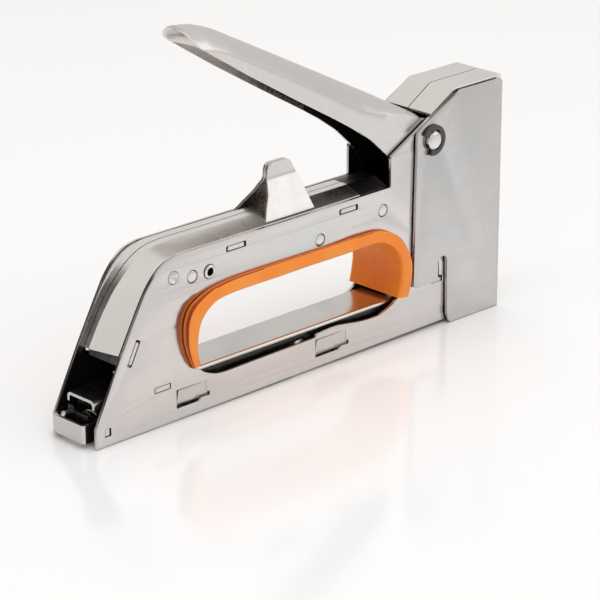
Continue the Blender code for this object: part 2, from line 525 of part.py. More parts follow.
# ---------------------------------------------------------------- latch
# height, rear edge, front edge, outer half width
latch_rows = [(61.0, -6.1, 0.9, 1.05), (60.4, -6.9, 1.8, 1.05), (57.4, -7.3, 3.2, 1.05), (56.4, -7.5, 3.9, 1.2), (53.0, -9.0, 4.4, 3.3), (50.0, -11.4, 4.8, 5.1), (47.6, -12.9, 5.1, 6.5), (46.2, -13.3, 5.3, 7.05), (43.6, -11.5, 6.4, 7.1), (40.0, -3.0, 8.0, 7.1), (37.0, 2.6, 8.2, 7.1), (35.2, 4.2, 7.0, 7.1)]
halves = []
for side, label in ((-1, "right"), (1, "left")):
    rows = []
    for z, rear, front, half in latch_rows:
        thick = half + 0.1 if z > 57 else min(1.0, half + 0.1)
        rows.append([(rear, side * half, z), (front, side * half, z), (front, side * (half - thick), z), (rear, side * (half - thick), z)])
    halves.append(rows)
latch = loft("latch", halves[0], STEEL)
cut(latch, loft("latch_other_half", halves[1]), "UNION")
cut(latch, round_bar("latch_eye", RIVET_R + GAP, (LATCH_PIN[0], -12, LATCH_PIN[1]), (LATCH_PIN[0], 12, LATCH_PIN[1]), sides=20))
set_origin(latch, (LATCH_PIN[0], 0, LATCH_PIN[1]))

# ---------------------------------------------------------------- shading
for obj in parts.objects:
    if obj.type == "MESH" and obj.name in ("lever_pin", "spring_rod", "magazine_catch", "spring_seat", "front_rivet", "rear_rivet", "spine_rivet", "latch_pin", "hollow_rivet", "lever"):
        obj.data.shade_smooth()
        obj.data.set_sharp_from_angle(angle=math.radians(35))
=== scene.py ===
"""Looks for the hand tacker: finer sheet-metal pieces, finishes, studio and camera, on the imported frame."""

import math

import bmesh
import bpy
import numpy as np
from mathutils import Matrix, Vector


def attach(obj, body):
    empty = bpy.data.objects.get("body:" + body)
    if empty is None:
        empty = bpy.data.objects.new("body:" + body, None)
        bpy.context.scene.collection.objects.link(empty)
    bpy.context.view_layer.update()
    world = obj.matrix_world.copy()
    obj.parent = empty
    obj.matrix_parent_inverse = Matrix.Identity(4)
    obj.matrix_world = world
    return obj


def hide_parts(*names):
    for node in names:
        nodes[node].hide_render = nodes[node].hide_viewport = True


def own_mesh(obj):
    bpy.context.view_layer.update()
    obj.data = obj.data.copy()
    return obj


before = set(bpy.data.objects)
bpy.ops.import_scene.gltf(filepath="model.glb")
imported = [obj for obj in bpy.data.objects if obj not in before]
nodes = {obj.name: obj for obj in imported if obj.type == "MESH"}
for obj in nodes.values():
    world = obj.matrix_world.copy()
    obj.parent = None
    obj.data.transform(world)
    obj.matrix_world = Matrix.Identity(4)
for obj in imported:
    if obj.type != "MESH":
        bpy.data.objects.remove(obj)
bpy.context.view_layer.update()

MM = 0.001
scene = bpy.context.scene


# ================================================================ finishes
class Nodes:
    def __init__(self, name):
        self.mat = bpy.data.materials.new(name)
        self.mat.use_nodes = True
        self.tree = self.mat.node_tree
        self.shader = self.tree.nodes["Principled BSDF"]
        self.coord = self.tree.nodes.new("ShaderNodeTexCoord").outputs["Object"]

    def node(self, kind, **values):
        made = self.tree.nodes.new(kind)
        for key, value in values.items():
            setattr(made, key, value)
        return made

    def link(self, a, b):
        self.tree.links.new(a, b)

    def noise(self, scale, detail=3.0, rough=0.5, stretch=None, distortion=0.0):
        made = self.node("ShaderNodeTexNoise")
        made.inputs["Scale"].default_value = scale
        made.inputs["Detail"].default_value = detail
        made.inputs["Roughness"].default_value = rough
        made.inputs["Distortion"].default_value = distortion
        if stretch:
            mapping = self.node("ShaderNodeMapping")
            mapping.inputs["Scale"].default_value = stretch
            self.link(self.coord, mapping.inputs["Vector"])
            self.link(mapping.outputs[0], made.inputs["Vector"])
        else:
            self.link(self.coord, made.inputs["Vector"])
        return made.outputs["Fac"]

    def ramp(self, source, stops):
        made = self.node("ShaderNodeValToRGB")
        elements = made.color_ramp.elements
        while len(elements) < len(stops):
            elements.new(0.5)
        for element, (at, colour) in zip(elements, stops):
            element.position = at
            element.color = (*colour, 1)
        self.link(source, made.inputs[0])
        return made.outputs[0]

    def spread(self, source, low, high, to_low, to_high):
        made = self.node("ShaderNodeMapRange")
        for key, value in (("From Min", low), ("From Max", high), ("To Min", to_low), ("To Max", to_high)):
            made.inputs[key].default_value = value
        self.link(source, made.inputs["Value"])
        return made.outputs[0]

    def mix(self, factor, a, b, mode="MIX"):
        made = self.node("ShaderNodeMix", data_type="RGBA", blend_type=mode)
        if isinstance(factor, float):
            made.inputs[0].default_value = factor
        else:
            self.link(factor, made.inputs[0])
        for socket, value in ((made.inputs[6], a), (made.inputs[7], b)):
            if isinstance(value, tuple):
                socket.default_value = (*value, 1)
            else:
                self.link(value, socket)
        return made.outputs[2]

    def bump(self, height, strength, distance, under=None):
        made = self.node("ShaderNodeBump")
        made.inputs["Strength"].default_value = strength
        made.inputs["Distance"].default_value = distance
        self.link(height, made.inputs["Height"])
        if under:
            self.link(under, made.inputs["Normal"])
        return made.outputs[0]


def plated(name, warm, cool, pale, rough, patch=34.0, wave=0.5, streak=(6.0, 1.0, 1.0)):
    """Nickel plate on pressed sheet: cloudy colour, patches of duller plate, wavy sheet, fine rub marks."""
    n = Nodes(name)
    n.shader.inputs["Metallic"].default_value = 1.0
    cloud = n.ramp(n.noise(patch, 2.5, 0.55, distortion=0.4), [(0.30, cool), (0.47, warm), (0.58, warm), (0.74, pale)])
    speck = n.spread(n.noise(1400.0, 2.0, 0.6), 0.30, 0.72, 0.985, 1.01)
    grey = n.node("ShaderNodeCombineColor")
    for socket in grey.inputs[:3]:
        n.link(speck, socket)
    n.link(n.mix(1.0, cloud, grey.outputs[0], "MULTIPLY"), n.shader.inputs["Base Color"])
    dull = n.noise(patch * 2.3, 4.0, 0.6, distortion=0.8)
    rub = n.noise(300.0, 3.0, 0.6, stretch=(0.2, 1.0, 1.0))
    add = n.node("ShaderNodeMath", operation="ADD")
    n.link(n.spread(dull, 0.3, 0.72, rough[0], rough[1]), add.inputs[0])
    n.link(n.spread(rub, 0.35, 0.75, 0.0, 0.05), add.inputs[1])
    n.link(add.outputs[0], n.shader.inputs["Roughness"])
    sheet = n.bump(n.noise(55.0, 1.0, 0.4), wave, 0.0006)
    n.link(n.bump(rub, 0.02, 0.0001, sheet), n.shader.inputs["Normal"])
    return n.mat


def satin(name, colour, rough, scale=900.0, metal=1.0, grain=0.25, stretch=(1.0, 1.0, 1.0)):
    n = Nodes(name)
    n.shader.inputs["Metallic"].default_value = metal
    low = tuple(c * 0.78 for c in colour)
    n.link(n.ramp(n.noise(90.0, 4.0, 0.6), [(0.3, low), (0.7, colour)]), n.shader.inputs["Base Color"])
    fine = n.noise(scale, 3.0, 0.6, stretch=stretch)
    n.link(n.spread(fine, 0.3, 0.7, rough * 0.8, rough * 1.25), n.shader.inputs["Roughness"])
    n.link(n.bump(fine, grain, 0.00008), n.shader.inputs["Normal"])
    return n.mat


def plastic(name):
    n = Nodes(name)
    deep, main, light = (0.95, 0.235, 0.012), (0.985, 0.285, 0.020), (1.0, 0.345, 0.040)
    n.link(n.ramp(n.noise(70.0, 3.0, 0.5), [(0.28, deep), (0.5, main), (0.75, light)]), n.shader.inputs["Base Color"])
    n.shader.inputs["Subsurface Weight"].default_value = 0.18
    n.shader.inputs["Subsurface Radius"].default_value = (0.0016, 0.0005, 0.0001)
    n.shader.inputs["Subsurface Scale"].default_value = 1.0
    fine = n.noise(2600.0, 2.0, 0.5)
    n.link(n.spread(n.noise(240.0, 3.0, 0.6), 0.3, 0.7, 0.30, 0.42), n.shader.inputs["Roughness"])
    n.link(n.bump(fine, 0.12, 0.00005), n.shader.inputs["Normal"])
    return n.mat


def rubbery(name):
    n = Nodes(name)
    n.link(n.ramp(n.noise(180.0, 4.0, 0.6), [(0.3, (0.018, 0.018, 0.018)), (0.7, (0.045, 0.044, 0.042))]), n.shader.inputs["Base Color"])
    n.link(n.spread(n.noise(500.0, 3.0, 0.6), 0.3, 0.7, 0.6, 0.85), n.shader.inputs["Roughness"])
    n.link(n.bump(n.noise(1500.0, 3.0, 0.6), 0.3, 0.0001), n.shader.inputs["Normal"])
    return n.mat


PLATE = plated("nickel_plate", (0.645, 0.617, 0.600), (0.600, 0.612, 0.606), (0.680, 0.645, 0.632), (0.15, 0.24), wave=0.13)
COVER = plated("nickel_cover", (0.570, 0.552, 0.540), (0.530, 0.545, 0.560), (0.610, 0.573, 0.565), (0.22, 0.34), patch=48.0, wave=0.13)
SPINE = plated("nickel_spine", (0.780, 0.748, 0.712), (0.720, 0.700, 0.668), (0.820, 0.790, 0.765), (0.22, 0.30), wave=0.12)
LEVER = plated("nickel_lever", (0.675, 0.647, 0.628), (0.625, 0.617, 0.608), (0.715, 0.682, 0.667), (0.20, 0.32), wave=0.13)
PIN = plated("nickel_pin", (0.700, 0.690, 0.675), (0.640, 0.635, 0.630), (0.780, 0.770, 0.755), (0.10, 0.20), patch=160.0, wave=0.1)
INNER = plated("nickel_inner", (0.640, 0.615, 0.590), (0.560, 0.555, 0.550), (0.700, 0.680, 0.660), (0.14, 0.26), wave=0.30)
HARD = satin("ground_steel", (0.40, 0.39, 0.38), 0.34, stretch=(1.0, 1.0, 0.08))
WIRE = satin("spring_wire", (0.36, 0.35, 0.34), 0.30)
# black finish: real on the e-clips; on the nose guide and absorber bracket it is painted shade for parts seen only
# through slots and from below
BLACK = satin("black_phosphate_and_painted_shade", (0.105, 0.100, 0.098), 0.34, metal=0.85, grain=0.3)
# painted shade: a near-black steel put on inner faces, bores and walls that sit in shadow
PAINTED_SHADE = satin("painted_shade_steel", (0.060, 0.053, 0.050), 0.30, metal=0.9, grain=0.15)
SHADE = satin("shaded_edge", (0.030, 0.026, 0.024), 0.55, metal=0.0, grain=0.1)
# painted half shade: a duller, darker plate put on the lever's and latch's inner faces in place of their shade
HALF_SHADE = satin("painted_half_shade_plate", (0.46, 0.415, 0.365), 0.26, metal=1.0, grain=0.1)
ORANGE = plastic("orange_plastic")


def shaded_groove_look(name):
    """The orange plastic of the bead's wall with painted shade: darkening to deep red towards the crest of the
    undercut, plain orange by the side plate.
    """
    n = Nodes(name)
    split = n.node("ShaderNodeSeparateXYZ")
    n.link(n.coord, split.inputs[0])
    size = n.node("ShaderNodeMath", operation="ABSOLUTE")
    n.link(split.outputs["Y"], size.inputs[0])
    wander = n.node("ShaderNodeMath", operation="MULTIPLY_ADD")
    wander.inputs[1].default_value = 0.0005
    n.link(n.noise(300.0, 3.0, 0.5), wander.inputs[0])
    n.link(size.outputs[0], wander.inputs[2])
    # painted shade ramp: orange by the plate to dark red at the crest, by distance from the centre plane
    n.link(n.ramp(n.spread(wander.outputs[0], 0.0094, 0.0112, 0.0, 1.0), [(0.0, (0.95, 0.26, 0.03)), (0.35, (0.72, 0.15, 0.012)), (0.8, (0.34, 0.035, 0.003))]), n.shader.inputs["Base Color"])
    n.link(n.spread(n.noise(400.0, 3.0, 0.6), 0.3, 0.7, 0.45, 0.6), n.shader.inputs["Roughness"])
    n.link(n.bump(n.noise(2600.0, 2.0, 0.5), 0.12, 0.00005), n.shader.inputs["Normal"])
    return n.mat


GROOVE_SHADE = shaded_groove_look("orange_groove_painted_shade")
RUBBER = rubbery("rubber")


# ================================================================ mesh code
def finish_mesh(name, bm, look, body, slot, replaces=(), angle=32.0, *inside):
    """inside is pairs of (another look, a test of a face's centre in mm and its normal): the faces that take that look."""
    bmesh.ops.recalc_face_normals(bm, faces=bm.faces)
    for index, (_, test) in enumerate(inside, 1):
        for face in bm.faces:
            if test(face.calc_center_median() / MM, face.normal):
                face.material_index = index
    mesh = bpy.data.meshes.new(name)
    bm.to_mesh(mesh)
    bm.free()
    obj = bpy.data.objects.new(name, mesh)
    scene.collection.objects.link(obj)
    mesh.materials.append(look)
    for other, _ in inside:
        mesh.materials.append(other)
    mesh.shade_smooth()
    mesh.set_sharp_from_angle(angle=math.radians(angle))
    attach(obj, body)
    if replaces:
        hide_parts(*replaces)
    return obj


def joined(*meshes):
    """One bmesh from several."""
    out = bmesh.new()
    for bm in meshes:
        bmesh.ops.recalc_face_normals(bm, faces=bm.faces)
        mesh = bpy.data.meshes.new("part")
        bm.to_mesh(mesh)
        bm.free()
        out.from_mesh(mesh)
        bpy.data.meshes.remove(mesh)
    return out


def flat(loops, y_low, y_high, edge=0.12, steps=1):
    """A flat outline in X and Z with holes, between two Y planes, its edges rounded by `edge`."""
    curve = bpy.data.curves.new("outline", "CURVE")
    curve.dimensions = "2D"
    curve.fill_mode = "BOTH"
    curve.extrude = (abs(y_high - y_low) / 2 - edge) * MM
    curve.bevel_depth = edge * MM
    curve.bevel_resolution = steps
    curve.offset = -edge * MM
    for loop in loops:
        spline = curve.splines.new("POLY")
        spline.points.add(len(loop) - 1)
        spline.use_cyclic_u = True
        for point, (x, z) in zip(spline.points, loop):
            point.co = (x * MM, z * MM, 0, 1)
    guide = bpy.data.objects.new("outline", curve)
    scene.collection.objects.link(guide)
    guide.rotation_euler = (math.pi / 2, 0, 0)
    guide.location = (0, (y_low + y_high) * MM / 2, 0)
    bpy.context.view_layer.update()
    mesh = bpy.data.meshes.new_from_object(guide.evaluated_get(bpy.context.evaluated_depsgraph_get()))
    mesh.transform(guide.matrix_world)
    bpy.data.objects.remove(guide, do_unlink=True)
    bpy.data.curves.remove(curve)
    bm = bmesh.new()
    bm.from_mesh(mesh)
    bpy.data.meshes.remove(mesh)
    bmesh.ops.remove_doubles(bm, verts=bm.verts, dist=2e-6)
    return bm


def loft(sections, closed=True, cap=True):
    """A skin through sections with equal point counts."""
    bm = bmesh.new()
    rows = [[bm.verts.new(Vector(p) * MM) for p in section] for section in sections]
    n = len(rows[0])
    for a, b in zip(rows, rows[1:]):
        for i in range(n if closed else n - 1):
            j = (i + 1) % n
            bm.faces.new((a[i], a[j], b[j], b[i]))
    if cap:
        half = n // 2
        for row in (rows[0], rows[-1]):
            for i in range(half - 1):
                bm.faces.new((row[i], row[i + 1], row[n - 2 - i], row[n - 1 - i]))
    return bm


def turned(profile, start, direction, steps=40):
    """A closed profile of (distance along, radius) turned about an axis."""
    bm = bmesh.new()
    rings = []
    for h, r in profile:
        if r < 1e-6:
            rings.append([bm.verts.new((0, 0, h * MM))])
        else:
            rings.append([bm.verts.new((r * MM * math.cos(2 * math.pi * i / steps), r * MM * math.sin(2 * math.pi * i / steps), h * MM)) for i in range(steps)])
    for a, b in zip(rings, rings[1:]):
        for i in range(steps):
            j = (i + 1) % steps
            if len(a) == 1 and len(b) == 1:
                continue
            if len(a) == 1:
                bm.faces.new((a[0], b[i], b[j]))
            elif len(b) == 1:
                bm.faces.new((a[i], a[j], b[0]))
            else:
                bm.faces.new((a[i], a[j], b[j], b[i]))
    turn = Vector((0, 0, 1)).rotation_difference(Vector(direction)).to_matrix().to_4x4()
    bm.transform(Matrix.Translation(Vector(start) * MM) @ turn)
    return bm


def tube_ring(profile, start, direction, steps=40):
    """As turned, for a profile that closes on itself away from the axis."""
    return turned(list(profile) + [profile[0]], start, direction, steps)


def coil(centre, axis, radius, wire, length, turns, per_turn=28, sides=10, closed=1.0):
    axis = Vector(axis).normalized()
    side = axis.orthogonal().normalized()
    other = axis.cross(side)
    count = int(turns * per_turn) + 1
    pitch = wire * 1.12
    run = length - wire - 2 * closed * pitch
    points = []
    for i in range(count):
        t = turns * i / (count - 1)
        if t < closed:
            rise = t * pitch
        elif t > turns - closed:
            rise = length - wire - (turns - t) * pitch
        else:
            rise = closed * pitch + run * (t - closed) / (turns - 2 * closed)
        a = 2 * math.pi * t
        points.append(Vector(centre) + axis * (rise + wire / 2) + radius * (math.cos(a) * side + math.sin(a) * other))
    return wire_tube(points, wire / 2, sides)


def wire_tube(points, radius, sides=10):
    bm = bmesh.new()
    rows = []
    up = None
    for i, p in enumerate(points):
        a, b = points[max(0, i - 1)], points[min(len(points) - 1, i + 1)]
        t = (b - a).normalized()
        up = t.orthogonal().normalized() if up is None else (up - t * up.dot(t)).normalized()
        w = t.cross(up)
        rows.append([bm.verts.new((p + radius * (math.cos(2 * math.pi * k / sides) * up + math.sin(2 * math.pi * k / sides) * w)) * MM) for k in range(sides)])
    for a, b in zip(rows, rows[1:]):
        for i in range(sides):
            j = (i + 1) % sides
            bm.faces.new((a[i], a[j], b[j], b[i]))
    bm.faces.new(rows[0])
    bm.faces.new(rows[-1][::-1])
    return bm


def smooth_run(points, per_span=4):
    p = [Vector(q) for q in points]
    p = [2 * p[0] - p[1]] + p + [2 * p[-1] - p[-2]]
    out = []
    for a, b, c, d in zip(p, p[1:], p[2:], p[3:]):
        for i in range(per_span):
            t = i / per_span
            out.append(0.5 * ((2 * b) + (c - a) * t + (2 * a - 5 * b + 4 * c - d) * t**2 + (3 * b - a - 3 * c + d) * t**3))
    out.append(p[-2])
    return [tuple(q) for q in out]


def offset_run(points, distance):
    p = np.array(points, float)
    along = np.gradient(p, axis=0)
    along /= np.linalg.norm(along, axis=1)[:, None]
    return [tuple(q) for q in p + distance * np.stack([-along[:, 1], along[:, 0]], 1)]


def ring(centre, radius, sides=48):
    return [(centre[0] + radius * math.cos(2 * math.pi * i / sides), centre[1] + radius * math.sin(2 * math.pi * i / sides)) for i in range(sides)]


def rounded(points, radii, steps=6):
    """A polygon with each corner rounded by its own radius."""
    out, n = [], len(points)
    if isinstance(radii, (int, float)):
        radii = [radii] * n
    for i, (corner, r) in enumerate(zip(points, radii)):
        c = Vector(corner)
        if r <= 0:
            out.append(tuple(c))
            continue
        a = (Vector(points[i - 1]) - c).normalized()
        b = (Vector(points[(i + 1) % n]) - c).normalized()
        half = a.angle(b) / 2
        reach = r / math.tan(half)
        centre = c + (a + b).normalized() * r / math.sin(half)
        p, q = c + a * reach - centre, c + b * reach - centre
        for k in range(steps + 1):
            t = k / steps
            total = p.angle(q)
            s0, s1 = math.sin((1 - t) * total), math.sin(t * total)
            out.append(tuple(centre + (p * s0 + q * s1) / math.sin(total)))
    return out


def bar_slot(centre, length, width, angle=0.0, r=0.0):
    ca, sa = math.cos(angle), math.sin(angle)
    half = [(-length / 2, -width / 2), (length / 2, -width / 2), (length / 2, width / 2), (-length / 2, width / 2)]
    pts = [(centre[0] + ca * a - sa * b, centre[1] + sa * a + ca * b) for a, b in half]
    return rounded(pts, r, 4) if r else pts


def read(table, x):
    return float(np.interp(x, [p[0] for p in table], [p[1] for p in table]))


def block(low, high, edge=0.3, segments=3):
    """A box with every edge rounded."""
    bm = bmesh.new()
    bmesh.ops.create_cube(bm, size=1.0)
    low, high = Vector(low) * MM, Vector(high) * MM
    bmesh.ops.scale(bm, vec=high - low, verts=bm.verts)
    bmesh.ops.translate(bm, vec=(high + low) / 2, verts=bm.verts)
    bmesh.ops.bevel(bm, geom=bm.edges[:], offset=edge * MM, segments=segments, affect="EDGES", profile=0.5)
    return bm


def sweep_profile(outer, axis, low, high, edge=0.1):
    """A closed outline of (a, b) pushed along X ("x": a is y, b is z) or Z ("z": a is x, b is y), with flat ends."""
    def at(p, level, shrink):
        c = centre
        a, b = p
        return (level, a, b) if axis == "x" else (a, b, level)
    centre = None
    return loft_ngon([[at(p, level, 0) for p in outer] for level in (low, high)])


def loft_ngon(sections):
    bm = bmesh.new()
    rows = [[bm.verts.new(Vector(p) * MM) for p in section] for section in sections]
    n = len(rows[0])
    for a, b in zip(rows, rows[1:]):
        for i in range(n):
            j = (i + 1) % n
            bm.faces.new((a[i], a[j], b[j], b[i]))
    for row in (rows[0], rows[-1]):
        face = bm.faces.new(row)
        bmesh.ops.triangulate(bm, faces=[face])
    return bm


def sheet_path(path, thickness):
    """A strip of sheet that follows a run of points: the closed outline of it."""
    far = offset_run(path, -thickness)
    return list(path) + far[::-1]


# ================================================================ dimensions, in mm
GAP, SHEET = 0.3, 1.0
PLATE_OUT, PLATE_IN, SHELL_OUT, COVER_IN, COVER_OUT = 8.95, 7.95, 7.65, 9.25, 10.25
PIVOT, PIN_R, PIN_HALF, LEVER_HALF = (48.4, 57.9), 2.6, 12.0, 7.6
ARM_TIP, ARM_TIP_R = (69.4, 53.4), 2.2
LATCH_PIN, RIVET_R = (5.4, 38.0), 1.75
RIVETS = {"front_rivet": (30.2, 40.7), "latch_pin": LATCH_PIN, "rear_rivet": (-42.1, 39.5), "spine_rivet": (-48.8, 40.9)}
HOLLOW_RIVET = (-36.0, 39.4)
CHANNEL_TOP, CHANNEL_HALF, CHANNEL_IN = 12.0, 6.6, 5.6
SLOPE = math.atan2(17.6, 9.1)
PLATE_REAR = [(-76.8, 0.0), (-76.7, 5.6), (-67.6, 23.2), (-60.2, 36.4), (-57.6, 40.4), (-54.6, 43.6), (-51.0, 45.8), (-46.6, 46.75)]
PLATE_FRONT = [(33.2, 46.9), (33.2, 55.8), (58.4, 69.2), (76.9, 69.4), (76.9, 0.0)]
GRIP_OUT = [(-42.9, 13.6), (-44.3, 16.7), (-45.3, 19.6), (-45.9, 22.4), (-46.0, 25.3), (-45.7, 27.8), (-44.7, 30.2), (-43.2, 31.9), (-41.0, 33.2), (-38.6, 34.2), (-36.3, 34.9), (-33.4, 35.4), (-26.8, 35.9), (-15.0, 36.0), (0.0, 35.9), (16.6, 35.9), (25.3, 35.8), (29.0, 35.2), (32.6, 33.8), (35.9, 31.7), (38.0, 29.2), (39.7, 26.4), (40.9, 23.3), (41.2, 20.3), (40.9, 17.2), (40.3, 14.6), (39.5, 12.7)]
GRIP_IN = [(-40.1, 13.9), (-41.3, 16.2), (-42.0, 18.8), (-42.2, 21.0), (-42.1, 23.4), (-41.5, 25.8), (-40.5, 27.7), (-38.8, 29.5), (-36.6, 30.8), (-34.4, 31.5), (-30.7, 31.9), (-26.8, 32.0), (-20.0, 32.0), (-9.8, 31.9), (0.0, 31.9), (11.5, 31.9), (19.4, 32.0), (23.3, 32.1), (26.6, 32.1), (29.4, 31.4), (32.3, 29.8), (34.7, 27.5), (36.3, 24.7), (36.9, 21.6), (36.7, 18.6), (36.2, 15.8), (35.5, 13.2)]
GRIP_RISE = [(0.0, 1.6), (0.08, 2.2), (0.15, 2.6), (0.27, 2.6), (0.36, 2.2), (0.45, 1.8), (0.52, 1.6), (0.6, 1.5), (1.0, 1.5)]  # how far the bead stands off the side plate, along the run
GRIP_WEB = 2.0
TAB_SLOTS = {"top_spacer_front": ((16.4, 44.3), 0.0, 6.0), "top_spacer_rear": ((-26.3, 44.12), 0.0, 6.0), "rear_spacer": ((-63.2, 23.4), SLOPE, 6.2)}
TAB_THICK = 1.2
CHANNEL_EAR = ((-53.4, 10.7), 5.2, 1.1)
PADS = [(-47.6, -37.6, 3.4, 9.0), (4.4, 15.6, 3.53, 9.13)]
grip_inner, grip_outer = smooth_run(GRIP_IN, 5), smooth_run(GRIP_OUT, 5)
opening_edge = offset_run(grip_inner, 2.3)

# ================================================================ side plates
rear_run = PLATE_REAR[:3] + smooth_run(PLATE_REAR[2:], 6)[1:]
plate_outline = rear_run + rounded(PLATE_FRONT, [0.0, 1.2, 1.6, 0.5, 0.6], 5)
finger_opening = smooth_run([(-40.0, 12.4), (-38.4, 11.2), (-36.2, 10.2), (-33.6, 9.4), (-30.5, 9.1)], 4) + [(-14.0, 9.3), (3.4, 9.45), (3.9, 10.2)] + smooth_run([(4.4, 10.3), (8.0, 10.5), (12.5, 10.6), (16.5, 10.2), (20.5, 9.65), (24.5, 9.3)], 3) + smooth_run([(28.5, 9.25), (31.2, 10.0), (34.1, 11.1), (36.1, 12.4)], 4) + [q for q in opening_edge[::-1] if q[1] > 13.6]


def pad_sheet(x0, x1, z0, z1, side, cols=26, rows=16):
    """The lanced panel: it leaves the plate along its top and front edge and dips to the rear bottom corner."""
    bm = bmesh.new()
    grids = []
    for layer in (0.0, 0.85):
        grid = []
        for j in range(rows + 1):
            v = j / rows
            row = []
            for i in range(cols + 1):
                u = i / cols
                x, z = x0 + (x1 - x0) * u, z1 + (z0 - z1) * v
                fall = min(1.0, v / 0.22)
                fall = fall * fall * (3 - 2 * fall)
                rear = 1.0 - 0.35 * u - 0.65 * max(0.0, (u - 0.72) / 0.28) ** 1.5
                deep = 0.14 + (0.50 + 0.75 * v) * fall * rear
                lift = 0.9 * max(0.0, (u - 0.66) / 0.34) * v
                row.append(bm.verts.new(Vector((x, side * (PLATE_OUT - deep - layer), z + lift)) * MM))
            grid.append(row)
        grids.append(grid)
    a, b = grids
    for j in range(rows):
        for i in range(cols):
            bm.faces.new((a[j][i], a[j][i + 1], a[j + 1][i + 1], a[j + 1][i]))
            bm.faces.new((b[j][i], b[j + 1][i], b[j + 1][i + 1], b[j][i + 1]))
    rim = [(0, i) for i in range(cols + 1)] + [(j, cols) for j in range(1, rows + 1)] + [(rows, i) for i in range(cols - 1, -1, -1)] + [(j, 0) for j in range(rows - 1, 0, -1)]
    for (j0, i0), (j1, i1) in zip(rim, rim[1:] + rim[:1]):
        bm.faces.new((a[j0][i0], b[j0][i0], b[j1][i1], a[j1][i1]))
    return bm


for side, label in ((-1, "right"), (1, "left")):
    loops = [plate_outline, finger_opening]
    for centre, angle, length in TAB_SLOTS.values():
        loops.append(bar_slot(centre, length + 1.3, TAB_THICK + 0.45, angle, 0.3))
    loops.append(bar_slot(CHANNEL_EAR[0], CHANNEL_EAR[1] + 0.6, CHANNEL_EAR[2] + 0.6, 0.0, 0.3))
    for centre in RIVETS.values():
        loops.append(ring((centre[0] - 0.10, centre[1] + 0.02), RIVET_R + 0.13))
    loops.append(ring((HOLLOW_RIVET[0] - 0.15, HOLLOW_RIVET[1] + 0.1), 2.05))
    loops.append(rounded([(50.6, 13.3), (55.1, 13.3), (55.1, 14.9), (53.7, 15.3), (53.5, 20.2), (52.9, 20.8), (51.2, 20.8), (50.9, 20.2)], 0.25, 3))
    loops.append(rounded([(-73.8, 2.6), (-71.6, 2.6), (-71.6, 4.9), (-73.8, 4.9)], 0.2, 3))
    loops.append(ring(PIVOT, PIN_R + GAP))
    for x0, x1, z0, z1 in PADS:
        loops.append(rounded([(x0 - 0.95, z0 - 0.1), (x1 - 3.2, z0 - 0.1), (x1 - 1.8, z0 + 0.75), (x1 - 0.3, z0 + 0.7), (x1 + 1.0, z0 + 0.6), (x1 + 1.0, z0 + 1.9), (x1 - 0.25, z0 + 1.95), (x1 - 0.25, z1 - 0.25), (x0 - 0.95, z1 - 0.25)], [0.5, 0.4, 0.3, 0.0, 0.45, 0.45, 0.1, 0.1, 0.3], 4))
    low, high = sorted((side * PLATE_IN, side * PLATE_OUT))
    sheets = [flat(loops, low, high, 0.13, 2)] + [pad_sheet(x0 + 0.25, x1, z0 + 0.75, z1, side) for x0, x1, z0, z1 in PADS]
    sheets.append(block((-73.55, min(side * 7.9, side * 8.72), 2.8), (-72.0, max(side * 7.9, side * 8.72), 4.8), 0.2))
    sheets.append(block((51.1, min(side * 8.0, side * 8.9), 13.3), (54.6, max(side * 8.0, side * 8.9), 14.6), 0.25))
    # painted shade: the plate's inner faces take near-black steel
    finish_mesh(f"side_plate_{label}_sheet", joined(*sheets), PLATE, "body", "plated_steel", [f"side_plate_{label}"], 32.0, (PAINTED_SHADE, lambda c, n: n.y * c.y < -0.25))

# ================================================================ spine and head shells


def bend(corners, radii, steps=5):
    """An open run with its inner corners rounded."""
    out = [tuple(corners[0])]
    for i in range(1, len(corners) - 1):
        c = Vector(corners[i])
        a = (Vector(corners[i - 1]) - c)
        b = (Vector(corners[i + 1]) - c)
        total = a.angle(b)
        reach = min(radii[i - 1] / math.tan(total / 2), 0.45 * a.length, 0.45 * b.length)
        p, q = c + a.normalized() * reach, c + b.normalized() * reach
        for k in range(steps + 1):
            t = k / steps
            out.append(tuple((1 - t) ** 2 * p + 2 * t * (1 - t) * c + t * t * q))
    out.append(tuple(corners[-1]))
    return out


def shell_half(path, ups, side, flange, seam=0.15, wide=0.0, rake=0.0):
    p = np.array(path, float)
    along = np.gradient(p, axis=0)
    along /= np.linalg.norm(along, axis=1)[:, None]
    normal = np.stack([-along[:, 1], along[:, 0]], 1)
    sections = []
    gone = np.concatenate([[0.0], np.cumsum(np.linalg.norm(np.diff(p, axis=0), axis=1))])
    for (x, z), (nx, nz), (rise, half), (ax, az_), at in zip(p, normal, ups, along, gone):
        if wide:
            outer = [(SHELL_OUT, -flange), (SHELL_OUT, -0.1), (SHELL_OUT + 0.15, 0.14)] + bend([(wide - 0.05, 0.14), (wide, rise), (seam, rise)], [0.45], 6)
            inner = [(SHELL_OUT - SHEET, -flange)] * 2 + bend([(SHELL_OUT - SHEET, -0.6), (SHELL_OUT - SHEET, rise - SHEET), (seam, rise - SHEET)], [0.3], len(outer) - 5)
            inner = inner[: len(outer) - 1] + [(seam, rise - SHEET)]
        else:
            outer = bend([(SHELL_OUT, -flange), (SHELL_OUT, 0.1), (half, rise), (seam, rise)], [0.3, 0.35])
            inner = offset_run(outer, SHEET)
        inner = [(max(seam, y), n) for y, n in inner]
        inner[-1] = (seam, rise - SHEET)
        over = [y for y, n in outer] + [y + SHEET for y, n in inner[::-1]]
        slide = [rake * max(0.0, 1.0 - at / 7.0) * min(1.0, max(0.0, (y - half) / (SHELL_OUT - half))) for y in over]
        sections.append([(x + nx * n + ax * k, side * y, z + nz * n + az_ * k) for (y, n), k in zip(outer + inner[::-1], slide)])
    return loft(sections)


